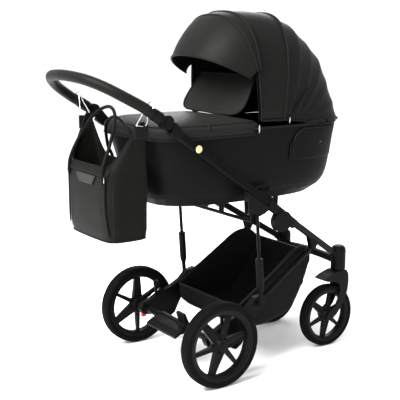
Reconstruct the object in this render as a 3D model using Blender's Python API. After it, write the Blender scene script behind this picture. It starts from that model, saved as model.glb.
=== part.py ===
"""A pram: folding side rails, sprung rear axle, front casters, carrycot with hood, basket and changing bag.

Metres, +Z up, +X towards the front wheels, +Y to the pram's left. The origin is on the floor under the
middle of the pram. Outlines below are laid out from a working origin on the floor under the rear axle, and
the "pram" empty shifts everything by ORIGIN_X.
"""

import math

import bmesh
import bpy
from mathutils import Vector

# Working origin to the middle of the pram's length.
ORIGIN_X = 0.1253
GAP = 0.0003

# Wheels.
REAR_RADIUS = 0.145
REAR_WIDTH = 0.044
REAR_Y = 0.270
FRONT_RADIUS = 0.116
FRONT_WIDTH = 0.038
FRONT_Y = 0.160
FRONT_AXLE_X = 0.561
SWIVEL_X = 0.617
SWIVEL_BOTTOM = 0.2832
SWIVEL_TOP = 0.374

# Side rail: one straight line from the handle down to the swivels, hinged at RAIL_SEAM.
RAIL_SEAM = (0.218, 0.5936)
RAIL_SLOPE = math.radians(35.3)
RAIL_Y = 0.240
RAIL_TOE_IN = 0.2308
TOE_IN_FROM_X = 0.250
UPPER_HEIGHT = 0.028
UPPER_WIDTH = 0.020
LEG_HEIGHT = 0.024
LEG_START = (0.1645, 0.003)
LEG_END = (0.4361, 0.0165)
FOLD_PIVOT_RISE = 0.0145
LOBE_CENTRE = (0.275, 0.5235)
LOBE_RADIUS = 0.037
KNUCKLE_RADIUS = 0.007
PIN_RADIUS = 0.003

# Handle.
TILT_PIVOT = (-0.185, 0.888)
TILT_RADIUS = 0.023
GRIP_RADIUS = 0.017
BUTTON_ALONG = -0.354

# Rear swing arms and struts.
ARM_PIVOT = (0.460, 0.398)
ARM_PIVOT_Y = 0.1915
STRUT_TOP = (0.169, 0.592)
STRUT_FOOT = (0.193, 0.240)
STRUT_Y = 0.240
BRACKET_Y = 0.212
BRACKET_WIDTH = 0.028
BRACKET_ALONG = 0.2721
EYE_PIN = 0.004
EYE_BORE = 0.0043
EYE_WIDTH = 0.012
AXLE_TUBE_RADIUS = 0.012
STUB_RADIUS = 0.006

# Carrycot and hood.
RIM_Z = 0.845
COT_BACK_X = -0.198
COT_FRONT_X = 0.618
COT_HALF_WIDTH = 0.213
COT_WALL = 0.011
BASE_Z = 0.586
HOOD_PIVOT = (0.262, 0.868)
HOOD_HALF_WIDTH = 0.207
HOOD_SKIN = 0.004
FLAP_PIVOT = (0.150, 0.889)

# Changing bag.
HOOK_POINT = (-0.242, 0.9236)
BAG_X = -0.2645
BAG_HALF_DEPTH = 0.0765
BAG_HALF_WIDTH = 0.155
BAG_BOTTOM = 0.497
BAG_MOUTH = 0.742
BAG_SHOULDER = 0.885

SIDES = {"left": 1, "right": -1}

FINISHES = {
    "black_metal": ((0.012, 0.012, 0.013), 0.35, 0.6),
    "black_plastic": ((0.015, 0.015, 0.016), 0.55, 0.0),
    "tyre_rubber": ((0.014, 0.014, 0.014), 0.85, 0.0),
    "grip_leather": ((0.020, 0.019, 0.018), 0.5, 0.0),
    "shell_fabric": ((0.030, 0.030, 0.029), 0.6, 0.0),
    "black_fabric": ((0.010, 0.010, 0.011), 0.9, 0.0),
    "mattress_fabric": ((0.045, 0.045, 0.045), 0.9, 0.0),
    "gold_cap": ((0.75, 0.62, 0.40), 0.3, 0.8),
    "red_plastic": ((0.55, 0.01, 0.01), 0.4, 0.0),
    "bag_leather": ((0.045, 0.045, 0.043), 0.55, 0.0),
}

places = {}


def rail(along, across):
    """(x, z) of a point on the side rail: metres down the rail from its seam, and above its centre line."""
    c, s = math.cos(RAIL_SLOPE), math.sin(RAIL_SLOPE)
    return RAIL_SEAM[0] + along * c + across * s, RAIL_SEAM[1] - along * s + across * c


def rail_y(x):
    """Distance of the rail's centre line from the pram's middle plane: the legs toe in towards the swivels."""
    return RAIL_Y - RAIL_TOE_IN * max(0.0, x - TOE_IN_FROM_X)


FOLD_PIVOT = rail(0, FOLD_PIVOT_RISE)

# Body: parent body and pivot, from the working origin.
BODIES = {
    "chassis": ("pram", (0, 0, 0)),
    "upper_frame": ("chassis", (FOLD_PIVOT[0], 0, FOLD_PIVOT[1])),
    "handlebar": ("upper_frame", (TILT_PIVOT[0], 0, TILT_PIVOT[1])),
    "bag": ("handlebar", (HOOK_POINT[0], 0, HOOK_POINT[1])),
    "rear_frame": ("chassis", (ARM_PIVOT[0], 0, ARM_PIVOT[1])),
    "brake": ("rear_frame", (0, 0, REAR_RADIUS)),
    "carrycot": ("chassis", (0.2, 0, BASE_Z)),
    "head_flap_hinge": ("carrycot", (FLAP_PIVOT[0], 0, FLAP_PIVOT[1])),
    "hood_front": ("carrycot", (HOOD_PIVOT[0], 0, HOOD_PIVOT[1])),
    "hood_mid": ("carrycot", (HOOD_PIVOT[0], 0, HOOD_PIVOT[1])),
}


# Shapes: each function returns (points, faces) about the working origin.


def loft(rings, wrap=False):
    """Skin over rings of equal length, capped at both ends unless the last ring joins the first."""
    count = len(rings[0])
    points = [Vector(point) for ring in rings for point in ring]
    faces = []
    for a in range(len(rings) - (0 if wrap else 1)):
        b = (a + 1) % len(rings)
        for k in range(count):
            j = (k + 1) % count
            faces.append((a * count + k, a * count + j, b * count + j, b * count + k))
    if not wrap:
        faces.append(tuple(range(count)))
        faces.append(tuple(range((len(rings) - 1) * count, len(rings) * count)))
    return points, faces


def grid(rows):
    """Open sheet over rows of equal length."""
    count = len(rows[0])
    points = [Vector(point) for row in rows for point in row]
    faces = [
        (a * count + k, a * count + k + 1, (a + 1) * count + k + 1, (a + 1) * count + k)
        for a in range(len(rows) - 1)
        for k in range(count - 1)
    ]
    return points, faces


def power(value, exponent):
    return math.copysign(abs(value) ** exponent, value)


def oval(centre, half_x, half_y, z, squareness, count):
    """Level superellipse ring: squareness 2 is an ellipse, and more is squarer."""
    ring = []
    for k in range(count):
        angle = 2 * math.pi * k / count
        x = centre[0] + half_x * power(math.cos(angle), 2 / squareness)
        y = centre[1] + half_y * power(math.sin(angle), 2 / squareness)
        ring.append((x, y, z))
    return ring


def round_section(radius, count=12):
    turn = 2 * math.pi / count
    return [(radius * math.cos(k * turn), radius * math.sin(k * turn)) for k in range(count)]


def box_section(width, height, corner, steps=2):
    """Rounded rectangle as (sideways, upwards) offsets."""
    section = []
    for quarter, (sx, sy) in enumerate(((1, 1), (-1, 1), (-1, -1), (1, -1))):
        for k in range(steps + 1):
            angle = math.radians(90 * (quarter + k / steps))
            section.append(
                (
                    sx * (width / 2 - corner) + corner * math.cos(angle),
                    sy * (height / 2 - corner) + corner * math.sin(angle),
                )
            )
    return section


def upright_beam(path, section):
    """Section swept along (x, y, z) points, with every ring's plane holding the Y axis, so that ends butt."""
    path = [Vector(point) for point in path]
    rings = []
    for k, point in enumerate(path):
        ahead = path[min(k + 1, len(path) - 1)] - path[max(k - 1, 0)]
        flat = Vector((ahead.x, 0, ahead.z)).normalized()
        up = Vector((-flat.z, 0, flat.x))
        rings.append([point + Vector((0, u, 0)) + v * up for u, v in section])
    return loft(rings)


def sweep(path, section, upward=(0, 0, 1), wrap=False):
    """Section swept square to a curved path."""
    path = [Vector(point) for point in path]
    rings = []
    for k, point in enumerate(path):
        before, after = (k - 1, (k + 1) % len(path)) if wrap else (max(k - 1, 0), min(k + 1, len(path) - 1))
        ahead = (path[after] - path[before]).normalized()
        up = Vector(upward)
        up = (up - up.dot(ahead) * ahead).normalized()
        side = ahead.cross(up)
        rings.append([point + u * side + v * up for u, v in section])
    return loft(rings, wrap)


def smooth_path(points, steps):
    """Catmull-Rom curve through the points."""
    points = [Vector(point) for point in points]
    padded = [2 * points[0] - points[1], *points, 2 * points[-1] - points[-2]]
    path = []
    for a, b, c, d in zip(padded, padded[1:], padded[2:], padded[3:]):
        for k in range(steps):
            t = k / steps
            path.append(
                0.5 * (2 * b + (c - a) * t + (2 * a - 5 * b + 4 * c - d) * t**2 + (3 * b - a - 3 * c + d) * t**3)
            )
    return [*path, points[-1]]


def turned(profile, count, centre, axis="Y", wrap=False):
    """Profile of (radius, height) pairs turned about an axis through centre."""
    rings = []
    for radius, height in profile:
        ring = []
        for k in range(count):
            angle = 2 * math.pi * k / count
            u, v = radius * math.cos(angle), radius * math.sin(angle)
            offset = (u, height, v) if axis == "Y" else (u, v, height)
            ring.append(Vector(centre) + Vector(offset))
        rings.append(ring)
    return loft(rings, wrap)


def prism(outline, y_from, y_to):
    """Outline of (x, z) points between two planes across the pram."""
    return loft([[(x, y, z) for x, z in outline] for y in (y_from, y_to)])


def box(low, high):
    (x0, y0, z0), (x1, y1, z1) = low, high
    return prism([(x0, z0), (x1, z0), (x1, z1), (x0, z1)], y0, y1)


def disc(centre, radius, y_from, y_to, count=20):
    """Cylinder along Y about an (x, z) centre."""
    return turned([(radius, y_from), (radius, y_to)], count, (centre[0], 0, centre[1]))


def eye(centre, radius, y_middle):
    """Ring along Y with the running bore of a pivot pin."""
    low, high = y_middle - EYE_WIDTH / 2, y_middle + EYE_WIDTH / 2
    profile = [(EYE_BORE, low), (radius, low), (radius, high), (EYE_BORE, high)]
    return turned(profile, 20, (centre[0], 0, centre[1]), wrap=True)


def joined(*shapes):
    """Several separate shapes as one (points, faces)."""
    points, faces = [], []
    for more_points, more_faces in shapes:
        faces += [tuple(k + len(points) for k in face) for face in more_faces]
        points += more_points
    return points, faces


# Objects.


def clear_scene():
    for obj in list(bpy.data.objects):
        bpy.data.objects.remove(obj, do_unlink=True)


def make_finishes():
    for name, (colour, roughness, metallic) in FINISHES.items():
        material = bpy.data.materials.new(name)
        material.use_nodes = True
        shader = material.node_tree.nodes["Principled BSDF"]
        shader.inputs["Base Color"].default_value = (*colour, 1)
        shader.inputs["Roughness"].default_value = roughness
        shader.inputs["Metallic"].default_value = metallic
        material.diffuse_color = (*colour, 1)


def make_body(name, parent, pivot):
    """Empty on a moving group's joint axis."""
    empty = bpy.data.objects.new(name + "_axis", None)
    bpy.context.scene.collection.objects.link(empty)
    places[name] = Vector(pivot)
    if parent:
        empty.parent = bpy.data.objects[parent + "_axis"]
        empty.location = places[name] - places[parent]
    return empty


def make_bodies():
    make_body("pram", None, (0, 0, 0)).location.x = -ORIGIN_X
    for name, (parent, pivot) in BODIES.items():
        make_body(name, parent, pivot)


def add(name, shape, finish, body, sharp=35):
    """Object holding the shape, with its origin on the body's axis."""
    points, faces = shape
    mesh = bpy.data.meshes.new(name)
    mesh.from_pydata([Vector(point) - places[body] for point in points], [], faces)
    model = bmesh.new()
    model.from_mesh(mesh)
    bmesh.ops.recalc_face_normals(model, faces=model.faces)
    model.to_mesh(mesh)
    model.free()
    mesh.shade_smooth()
    mesh.set_sharp_from_angle(angle=math.radians(sharp))
    mesh.materials.append(bpy.data.materials[finish])
    obj = bpy.data.objects.new(name, mesh)
    bpy.context.scene.collection.objects.link(obj)
    obj.parent = bpy.data.objects[body + "_axis"]
    return obj


def boolean(obj, operation, shape, label):
    """Adds the shape to the object, or cuts it away, through a hidden helper."""
    body = obj.parent.name.removesuffix("_axis")
    tool = add(f"{obj.name}.{label}", shape, obj.data.materials[0].name, body)
    tool.hide_render = True
    tool.display_type = "WIRE"
    modifier = obj.modifiers.new(label, "BOOLEAN")
    modifier.operation = operation
    modifier.solver = "EXACT"
    modifier.object = tool


def unite(obj, shape, label):
    boolean(obj, "UNION", shape, label)


def cut(obj, shape, label):
    boolean(obj, "DIFFERENCE", shape, label)


def thicken(obj, thickness):
    """Gives an open sheet its thickness, inwards from its outer face."""
    solidify = obj.modifiers.new("thickness", "SOLIDIFY")
    solidify.thickness = thickness
    solidify.offset = -1
    return obj


def soften(obj, width, segments=1):
    bevel = obj.modifiers.new("soft_edges", "BEVEL")
    bevel.width = width
    bevel.segments = segments
    bevel.limit_method = "ANGLE"
    bevel.angle_limit = math.radians(40)
    return obj


# Side rails and chassis.


def rail_path(stations, side):
    """Rail centre line at (along, across) stations."""
    path = []
    for along, across in stations:
        x, z = rail(along, across)
        path.append((x, side * rail_y(x), z))
    return path


def fold_housing(end, side):
    """Moulding below the seam: sleeve of the leg, strut block, carrycot socket and the outer hinge knuckles."""
    y = side * RAIL_Y
    width = 0.025
    sleeve = upright_beam(
        rail_path([(0.0006, -0.003), (0.05, -0.003), (0.163, -0.0005)], side),
        box_section(width, 0.0335, 0.008),
    )
    obj = add(f"fold_housing_{end}", sleeve, "black_plastic", "chassis")
    block = [
        rail(-0.104, -0.0152),
        rail(0.0006, -0.0152),
        rail(0.0006, 0),
        rail(0.03, 0),
        rail(0.006, -0.0185),
        (0.195, 0.568),
        (0.174, 0.553),
        (0.153, 0.564),
        (0.128, 0.562),
    ]
    unite(obj, prism(block, y - 0.0135, y + 0.0135), "block")
    unite(obj, disc(LOBE_CENTRE, LOBE_RADIUS, y - 0.0122, y + 0.0122, 32), "lobe")
    lug = [(0.150, 0.575), (0.152, 0.531), (0.158, 0.523), (0.168, 0.523), (0.175, 0.531), (0.180, 0.575)]
    unite(obj, prism(lug, *sorted((side * 0.2265, side * 0.2312))), "seat_tube_lug")
    slot_low = (0.10, y - EYE_WIDTH / 2 - 0.001, 0.50)
    slot_high = (0.1845, y + EYE_WIDTH / 2 + 0.001, 0.606)
    cut(obj, box(slot_low, slot_high), "strut_slot")
    unite(obj, disc(STRUT_TOP, EYE_PIN, y - 0.0125, y + 0.0125, 16), "strut_pin")
    cut(obj, disc(FOLD_PIVOT, KNUCKLE_RADIUS + 0.0006, y - 0.0044, y + 0.0044), "knuckle_gap")
    for label, low, high in (("inner", -0.0095, -0.0044), ("outer", 0.0044, 0.0095)):
        unite(obj, disc(FOLD_PIVOT, KNUCKLE_RADIUS, y + low, y + high), label + "_knuckle")
    unite(obj, disc(FOLD_PIVOT, PIN_RADIUS, y - 0.011, y + 0.011, 16), "fold_pin")
    inner = side * (RAIL_Y - 0.013)
    socket = [(0.178, 0.545), (0.211, 0.552), (0.237, 0.566), (0.237, 0.598), (0.178, 0.598)]
    unite(obj, prism(socket, *sorted((inner, inner - side * 0.0195))), "carrycot_socket")


def front_leg(end, side):
    """Thin lower rail from the fold housing to the swivel, with the two ears of the swing arm's pivot."""
    stations = [LEG_START, LEG_END]
    section = box_section(0.020, LEG_HEIGHT, 0.007)
    obj = add(f"front_leg_{end}", upright_beam(rail_path(stations, side), section), "black_metal", "chassis")
    x, z = ARM_PIVOT
    ears = [(x - 0.024, z + 0.044), (x + 0.020, z + 0.017), (x + 0.011, z - 0.003)]
    ears += [(x + 0.006, z - 0.010), (x - 0.006, z - 0.010), (x - 0.012, z)]
    for label, low, high in (("inner", -0.0095, -0.0066), ("outer", 0.0066, 0.0095)):
        y = side * ARM_PIVOT_Y
        unite(obj, prism(ears, y + low, y + high), label + "_ear")
    y = side * ARM_PIVOT_Y
    unite(obj, disc(ARM_PIVOT, EYE_PIN, y - 0.0085, y + 0.0085, 16), "arm_pin")


def swivel_housing(end, side):
    """Upright bearing cup of a front caster, with the boss that takes the leg."""
    y = side * FRONT_Y
    profile = [(0.0086, 0.342), (0.0086, SWIVEL_BOTTOM), (0.025, SWIVEL_BOTTOM), (0.028, 0.287)]
    profile += [(0.028, 0.357), (0.0255, 0.367), (0.018, SWIVEL_TOP)]
    cup = turned(profile, 28, (SWIVEL_X, y, 0), "Z")
    obj = add(f"swivel_housing_{end}", cup, "black_plastic", "chassis")
    boss = [rail(0.4364, LEG_END[1]), rail(0.4625, LEG_END[1] + 0.0012)]
    path = [(x, side * yy, z) for (x, z), yy in zip(boss, (rail_y(boss[0][0]), FRONT_Y))]
    unite(obj, upright_beam(path, box_section(0.024, 0.029, 0.008)), "boss")


def front_cross_tube():
    arch = [(-0.1307, 0.317), (-0.07, 0.321), (0, 0.323), (0.07, 0.321), (0.1307, 0.317)]
    path = smooth_path([(SWIVEL_X, y, z) for y, z in arch], 2)
    shape = sweep(path, round_section(0.015, 12))
    add("front_cross_tube", shape, "black_metal", "chassis")


def seat_cross_tube():
    half = RAIL_Y - 0.0135 - GAP
    path = [(0.163, -half, 0.532), (0.163, half, 0.532)]
    add("seat_cross_tube", sweep(path, round_section(0.0065)), "black_metal", "chassis")


# Upper rails and handle.


def upper_tube(end, side):
    """Upper rail with the middle hinge knuckle, and the boss and pocket of the fold button."""
    y = side * RAIL_Y
    path = rail_path([(-0.4268, 0), (-0.0006, 0)], side)
    section = box_section(UPPER_WIDTH, UPPER_HEIGHT, 0.008)
    obj = add(f"upper_tube_{end}", upright_beam(path, section), "black_metal", "upper_frame")
    centre = rail(BUTTON_ALONG, 0)
    faces = sorted((y, y + side * 0.0115))
    unite(obj, disc(centre, 0.0148, *faces, count=24), "button_boss")
    pocket = sorted((y + side * 0.0045, y + side * 0.03))
    cut(obj, disc(centre, 0.0127, *pocket, count=24), "button_pocket")
    for label, low, high in (("inner", -0.013, -0.0038), ("outer", 0.0038, 0.013)):
        clearance = disc(FOLD_PIVOT, KNUCKLE_RADIUS + 0.0006, y + low, y + high)
        cut(obj, clearance, label + "_knuckle_gap")
    unite(obj, disc(FOLD_PIVOT, KNUCKLE_RADIUS, y - 0.0038, y + 0.0038), "knuckle")
    cut(obj, disc(FOLD_PIVOT, PIN_RADIUS + 0.0003, y - 0.02, y + 0.02, 16), "pin_bore")


def fold_button(end, side):
    """Round cap pushed inwards to release the fold."""
    y = side * (RAIL_Y + 0.0078)
    centre = rail(BUTTON_ALONG, 0)
    profile = [(0.0121, 0), (0.0121, side * 0.0045), (0.0105, side * 0.0056)]
    shape = turned(profile, 24, (centre[0], y, centre[1]))
    add(f"fold_button_{end}", shape, "gold_cap", f"fold_button_{end}")


def handle_sleeve(end, side):
    """Clamp at the top of the upper rail, ending in the inner half of the tilting knuckle."""
    y = side * RAIL_Y
    outline = [rail(-0.4271, 0.0155), rail(-0.4271, -0.0155), rail(-0.445, -0.0185), rail(-0.4735, -0.017)]
    outline += [rail(-0.4735, 0.026), rail(-0.455, 0.021)]
    obj = add(f"handle_sleeve_{end}", prism(outline, y - 0.0125, y + 0.0125), "black_plastic", "upper_frame")
    soften(obj, 0.004, 2)
    inner = sorted((y - side * 0.0125, y - side * GAP / 2))
    unite(obj, disc(TILT_PIVOT, TILT_RADIUS, *inner, count=28), "inner_knuckle")
    web = [rail(-0.470, 0.020), rail(-0.470, -0.012), rail(-0.490, -0.008), rail(-0.490, 0.022)]
    unite(obj, prism(web, *inner), "web")


def handle_knuckle(end, side):
    """Outer half of the tilting knuckle with the socket of the handlebar."""
    y = side * RAIL_Y
    outer = sorted((y + side * GAP / 2, y + side * 0.0125))
    barrel = disc(TILT_PIVOT, TILT_RADIUS, *outer, count=28)
    obj = add(f"handle_knuckle_{end}", barrel, "black_plastic", "handlebar")
    x, z = TILT_PIVOT
    along, up = Vector((-0.848, 0, 0.530)), Vector((0.530, 0, 0.848))
    centre = Vector((x, y, z))
    section = round_section(0.0192, 20)
    rings = [
        [centre + reach * along + Vector((0, u, 0)) + v * up for u, v in section] for reach in (0.0262, 0.0513)
    ]
    unite(obj, loft(rings), "socket")
    tongue = [(centre + a * along + b * up) for a, b in ((0, -0.012), (0, 0.012), (0.030, 0.012), (0.030, -0.012))]
    unite(obj, prism([(p.x, p.z) for p in tongue], *outer), "tongue")
    pocket = sorted((y + side * 0.0075, y + side * 0.03))
    cut(obj, disc(TILT_PIVOT, 0.0105, *pocket, count=24), "button_pocket")


def tilt_button(end, side):
    """Round button pushed inwards to tilt the handle."""
    y = side * (RAIL_Y + 0.0107)
    profile = [(0.0100, 0), (0.0100, side * 0.0034), (0.0085, side * 0.0044)]
    shape = turned(profile, 20, (TILT_PIVOT[0], y, TILT_PIVOT[1]))
    add(f"tilt_button_{end}", shape, "black_plastic", f"tilt_button_{end}")


def handle_grip():
    """U-shaped padded bar between the two knuckles."""
    half = [(-0.2290, 0.240, 0.9155), (-0.250, 0.240, 0.9286), (-0.272, 0.240, 0.9424), (-0.325, 0.216, 0.9745)]
    half += [(-0.357, 0.188, 0.9955), (-0.382, 0.150, 1.0115), (-0.400, 0.098, 1.0225)]
    route = [(x, -y, z) for x, y, z in half] + [(-0.4095, 0, 1.028)] + half[::-1]
    shape = sweep(smooth_path(route, 2), round_section(GRIP_RADIUS, 10), upward=(0.5, 0, 0.86))
    add("handle_grip", shape, "grip_leather", "handlebar")


# Rear frame.


def toward(start, end, distance):
    """(x, z) point a distance along a line."""
    line = Vector(end) - Vector(start)
    return tuple(Vector(start) + distance * line.normalized())


def rear_tube(end, side):
    """Swing arm from its pivot under the leg back to the bracket."""
    y = side * ARM_PIVOT_Y
    obj = add(f"rear_tube_{end}", eye(ARM_PIVOT, 0.0095, y), "black_metal", "rear_frame")
    stations = (0.0235, 0.10, BRACKET_ALONG - GAP)
    spread = (ARM_PIVOT_Y + 0.0005, ARM_PIVOT_Y + 0.005, BRACKET_Y)
    path = []
    for distance, lateral in zip(stations, spread):
        x, z = toward(ARM_PIVOT, STRUT_FOOT, distance)
        path.append((x, side * lateral, z))
    unite(obj, upright_beam(path, round_section(0.0095, 14)), "tube")
    tongue = [toward(ARM_PIVOT, STRUT_FOOT, d) for d in (0.0065, 0.03)]
    path = [(x, y, z) for x, z in tongue]
    unite(obj, upright_beam(path, box_section(EYE_WIDTH, 0.014, 0.003, 1)), "tongue")


def rear_bracket(end, side):
    """Moulded bracket between swing arm and axle, with the strut's pin, the wheel's stub and a travel knob."""
    low, high = side * BRACKET_Y - BRACKET_WIDTH / 2, side * BRACKET_Y + BRACKET_WIDTH / 2
    seat = Vector(toward(ARM_PIVOT, STRUT_FOOT, BRACKET_ALONG))
    along = (Vector(STRUT_FOOT) - Vector(ARM_PIVOT)).normalized()
    square = Vector((along.y, -along.x))
    outline = [tuple(seat - 0.0135 * square), tuple(seat + 0.0135 * square)]
    outline += [(0.180, 0.262), (0.150, 0.233), (0.110, 0.212), (0.062, 0.198), (0.020, 0.176), (-0.018, 0.166)]
    outline += [(-0.026, 0.145), (-0.016, 0.124), (0.010, 0.119), (0.070, 0.108), (0.100, 0.093), (0.124, 0.108)]
    outline += [(0.146, 0.150), (0.176, 0.192)]
    obj = add(f"rear_bracket_{end}", prism(outline, low, high), "black_plastic", "rear_frame")
    soften(obj, 0.003)
    outer = side * (BRACKET_Y + BRACKET_WIDTH / 2)
    pin = sorted((outer - side * 0.006, side * (STRUT_Y + 0.0075)))
    unite(obj, disc(STRUT_FOOT, EYE_PIN, *pin, count=16), "strut_pin")
    stub = sorted((outer - side * 0.006, side * (REAR_Y + 0.0178)))
    unite(obj, disc((0, REAR_RADIUS), STUB_RADIUS, *stub, count=20), "wheel_stub")
    knob = [(0.006, 0.190), (0.006, 0.218), (0.0105, 0.222), (0.0105, 0.238), (0.0085, 0.242)]
    unite(obj, turned(knob, 10, (0.048, side * BRACKET_Y, 0), "Z"), "travel_knob")
    y0, y1 = sorted((outer - side * 0.0065, outer + side * 0.02))
    cut(obj, box((-0.0065, y0, 0.08), (0.0105, y1, 0.1345)), "catch_groove")


def rear_axle():
    """Tube across the pram that carries the brake pedal."""
    half = BRACKET_Y - BRACKET_WIDTH / 2 - GAP
    add("rear_axle", disc((0, REAR_RADIUS), AXLE_TUBE_RADIUS, -half, half), "black_metal", "rear_frame")


def wheel_release(end, side):
    """Small red catch under the wheel's stub, pushed upwards to free the wheel."""
    outer = side * (BRACKET_Y + BRACKET_WIDTH / 2)
    y0, y1 = sorted((outer - side * 0.0055, outer + side * 0.009))
    shape = box((-0.006, y0, 0.106), (0.010, y1, 0.130))
    obj = add(f"wheel_release_{end}", shape, "red_plastic", f"wheel_release_{end}")
    soften(obj, 0.0015)


def brake_pedal():
    """Rocker turning on the axle tube: a broad tread behind it and a raised toe lever in front."""
    bore, sleeve = AXLE_TUBE_RADIUS + 0.0004, 0.0175
    profile = [(bore, -0.112), (sleeve, -0.112), (sleeve, -0.080), (sleeve + 0.004, -0.078), (sleeve + 0.004, -0.026)]
    profile += [(sleeve, -0.024), (sleeve, 0.092), (bore, 0.092)]
    barrel = turned(profile, 24, (0, 0, REAR_RADIUS), wrap=True)
    obj = add("brake_pedal", barrel, "black_plastic", "brake")
    tread = [(-0.012, 0.156), (-0.045, 0.148), (-0.068, 0.134), (-0.066, 0.126), (-0.044, 0.137), (-0.012, 0.139)]
    unite(obj, prism(tread, -0.098, 0.090), "tread")
    lever = [(-0.006, 0.158), (-0.018, 0.196), (-0.008, 0.200), (0.008, 0.160)]
    unite(obj, prism(lever, -0.076, -0.028), "toe_lever")


def strut_frame(distance):
    x, z = toward(STRUT_TOP, STRUT_FOOT, distance)
    return x, z


def strut_path(start, end, side):
    return [(x, side * STRUT_Y, z) for x, z in (strut_frame(start), strut_frame(end))]


def strut_rod(end, side):
    """Thin upper half of the strut, hung from the fold housing."""
    obj = add(f"strut_rod_{end}", eye(STRUT_TOP, 0.0105, side * STRUT_Y), "black_metal", f"strut_rod_{end}")
    path = strut_path(0.0075, 0.262, side)
    unite(obj, upright_beam(path, round_section(0.0062)), "rod")


def strut_sleeve(end, side):
    """Thick lower half of the strut: an open sleeve round the rod, on a neck that pivots on the bracket."""
    rings = []
    stations = [(0.290, 0.0069), (0.188, 0.0069), (0.188, 0.0115), (0.193, 0.0130)]
    stations += [(0.285, 0.0130), (0.300, 0.0105), (0.306, 0.0075), (0.346, 0.0075)]
    down = (Vector(STRUT_FOOT) - Vector(STRUT_TOP)).normalized()
    across = Vector((-down.y, down.x))
    for distance, radius in stations:
        x, z = strut_frame(distance)
        rings.append(
            [(x + v * across.x, side * STRUT_Y + u, z + v * across.y) for u, v in round_section(radius, 16)]
        )
    obj = add(f"strut_sleeve_{end}", loft(rings), "black_plastic", f"strut_sleeve_{end}")
    cut(obj, disc(STRUT_FOOT, EYE_BORE + 0.003, *sorted((side * 0.2, side * 0.3))), "eye_clearance")
    unite(obj, eye(STRUT_FOOT, 0.0098, side * STRUT_Y), "eye")


# Wheels.


def rim(name, body, centre, radius, width, bore, side, turn, finish="black_plastic"):
    """Spoked wheel: a V-backed rim, a hub bored for its axle, and broad and narrow spokes in turn."""
    x, y, z = centre
    seat = radius - 0.146 * radius - GAP
    lip = 0.725 * radius
    half = 0.42 * width
    profile = [(lip, -0.7 * half), (seat, -half), (seat, half), (lip, 0.7 * half)]
    obj = add(name, turned(profile, 28, centre, wrap=True), finish, body)
    back, front = -0.48 * width * side, 0.42 * width * side
    waist = 0.19 * radius
    hub = [(bore, back), (waist, back), (waist, 0.6 * front), (0.8 * waist, front), (bore, front)]
    unite(obj, turned(hub, 16, centre, wrap=True), "hub")
    spokes = []
    for k in range(6):
        angle = math.radians(turn + 60 * k)
        outward = Vector((math.cos(angle), 0, math.sin(angle)))
        across = Vector((-math.sin(angle), 0, math.cos(angle)))
        near, far = (0.085, 0.048) if k % 2 == 0 else (0.045, 0.026)
        rings = []
        for reach, half_wide, half_deep in ((0.13, near, 0.19), (0.80, far, 0.13)):
            middle = Vector(centre) + reach * radius * outward + Vector((0, side * 0.08 * width, 0))
            corners = ((-1, -1), (1, -1), (1, 1), (-1, 1))
            wide, deep = half_wide * radius * across, Vector((0, half_deep * width, 0))
            rings.append([middle + a * wide + b * deep for a, b in corners])
        spokes.append(loft(rings))
    unite(obj, joined(*spokes), "spokes")


def tyre(name, body, centre, radius, width):
    inner = radius - 0.146 * radius
    half = width / 2
    side = [(inner, 0.80), (inner + 0.005, 1.0), (radius - 0.007, 0.96), (radius, 0.50)]
    profile = [(r, -share * half) for r, share in side] + [(r, share * half) for r, share in side[::-1]]
    add(name, turned(profile, 28, centre, wrap=True), "tyre_rubber", body, sharp=60)


def rear_wheel(end, side, turn):
    centre = (0, side * REAR_Y, REAR_RADIUS)
    body = f"rear_wheel_{end}"
    rim(f"rear_rim_{end}", body, centre, REAR_RADIUS, REAR_WIDTH, STUB_RADIUS + 0.0003, side, turn)
    tyre(f"rear_tyre_{end}", body, centre, REAR_RADIUS, REAR_WIDTH)


def front_wheel(end, side, turn):
    centre = (FRONT_AXLE_X, side * FRONT_Y, FRONT_RADIUS)
    body = f"front_wheel_{end}"
    rim(f"front_rim_{end}", body, centre, FRONT_RADIUS, FRONT_WIDTH, 0.0053, side, turn)
    tyre(f"front_tyre_{end}", body, centre, FRONT_RADIUS, FRONT_WIDTH)


def caster_fork(end, side):
    """Two-bladed fork with a mudguard, the wheel's axle between its blades and a stem up into the housing."""
    y = side * FRONT_Y
    outline = [(0.524, 0.258), (0.550, 0.271), (0.590, 0.2828), (0.636, 0.2828), (0.646, 0.266), (0.648, 0.238)]
    outline += [(0.644, 0.208), (0.635, 0.180), (0.617, 0.147), (0.590, 0.118), (0.565, 0.100), (0.550, 0.102)]
    outline += [(0.545, 0.117), (0.556, 0.131), (0.585, 0.148), (0.600, 0.180), (0.607, 0.212), (0.600, 0.237)]
    outline += [(0.572, 0.2465), (0.545, 0.2500)]
    obj = add(f"caster_fork_{end}", prism(outline, y - 0.0275, y + 0.0275), "black_plastic", f"caster_{end}")
    gap = disc((FRONT_AXLE_X, FRONT_RADIUS), FRONT_RADIUS + 0.006, y - 0.0213, y + 0.0213, 36)
    cut(obj, gap, "wheel_gap")
    unite(obj, disc((FRONT_AXLE_X, FRONT_RADIUS), 0.005, y - 0.024, y + 0.024, 16), "axle")
    stem = turned([(0.008, 0.275), (0.008, 0.338)], 20, (SWIVEL_X, y, 0), "Z")
    unite(obj, stem, "stem")


# Basket.


def shopping_basket():
    """Open fabric trough slung between the swing arms."""
    stations = [
        # x, top, bottom, half width
        (0.134, 0.224, 0.166, 0.183),
        (0.165, 0.246, 0.144, 0.185),
        (0.240, 0.294, 0.132, 0.184),
        (0.320, 0.346, 0.143, 0.181),
        (0.385, 0.388, 0.166, 0.176),
        (0.440, 0.396, 0.240, 0.168),
        (0.478, 0.368, 0.318, 0.160),
    ]
    wall = 0.005
    obj = add("shopping_basket", basket_skin(stations, 0), "black_fabric", "rear_frame")
    cut(obj, basket_skin(stations, wall), "inside")


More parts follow.
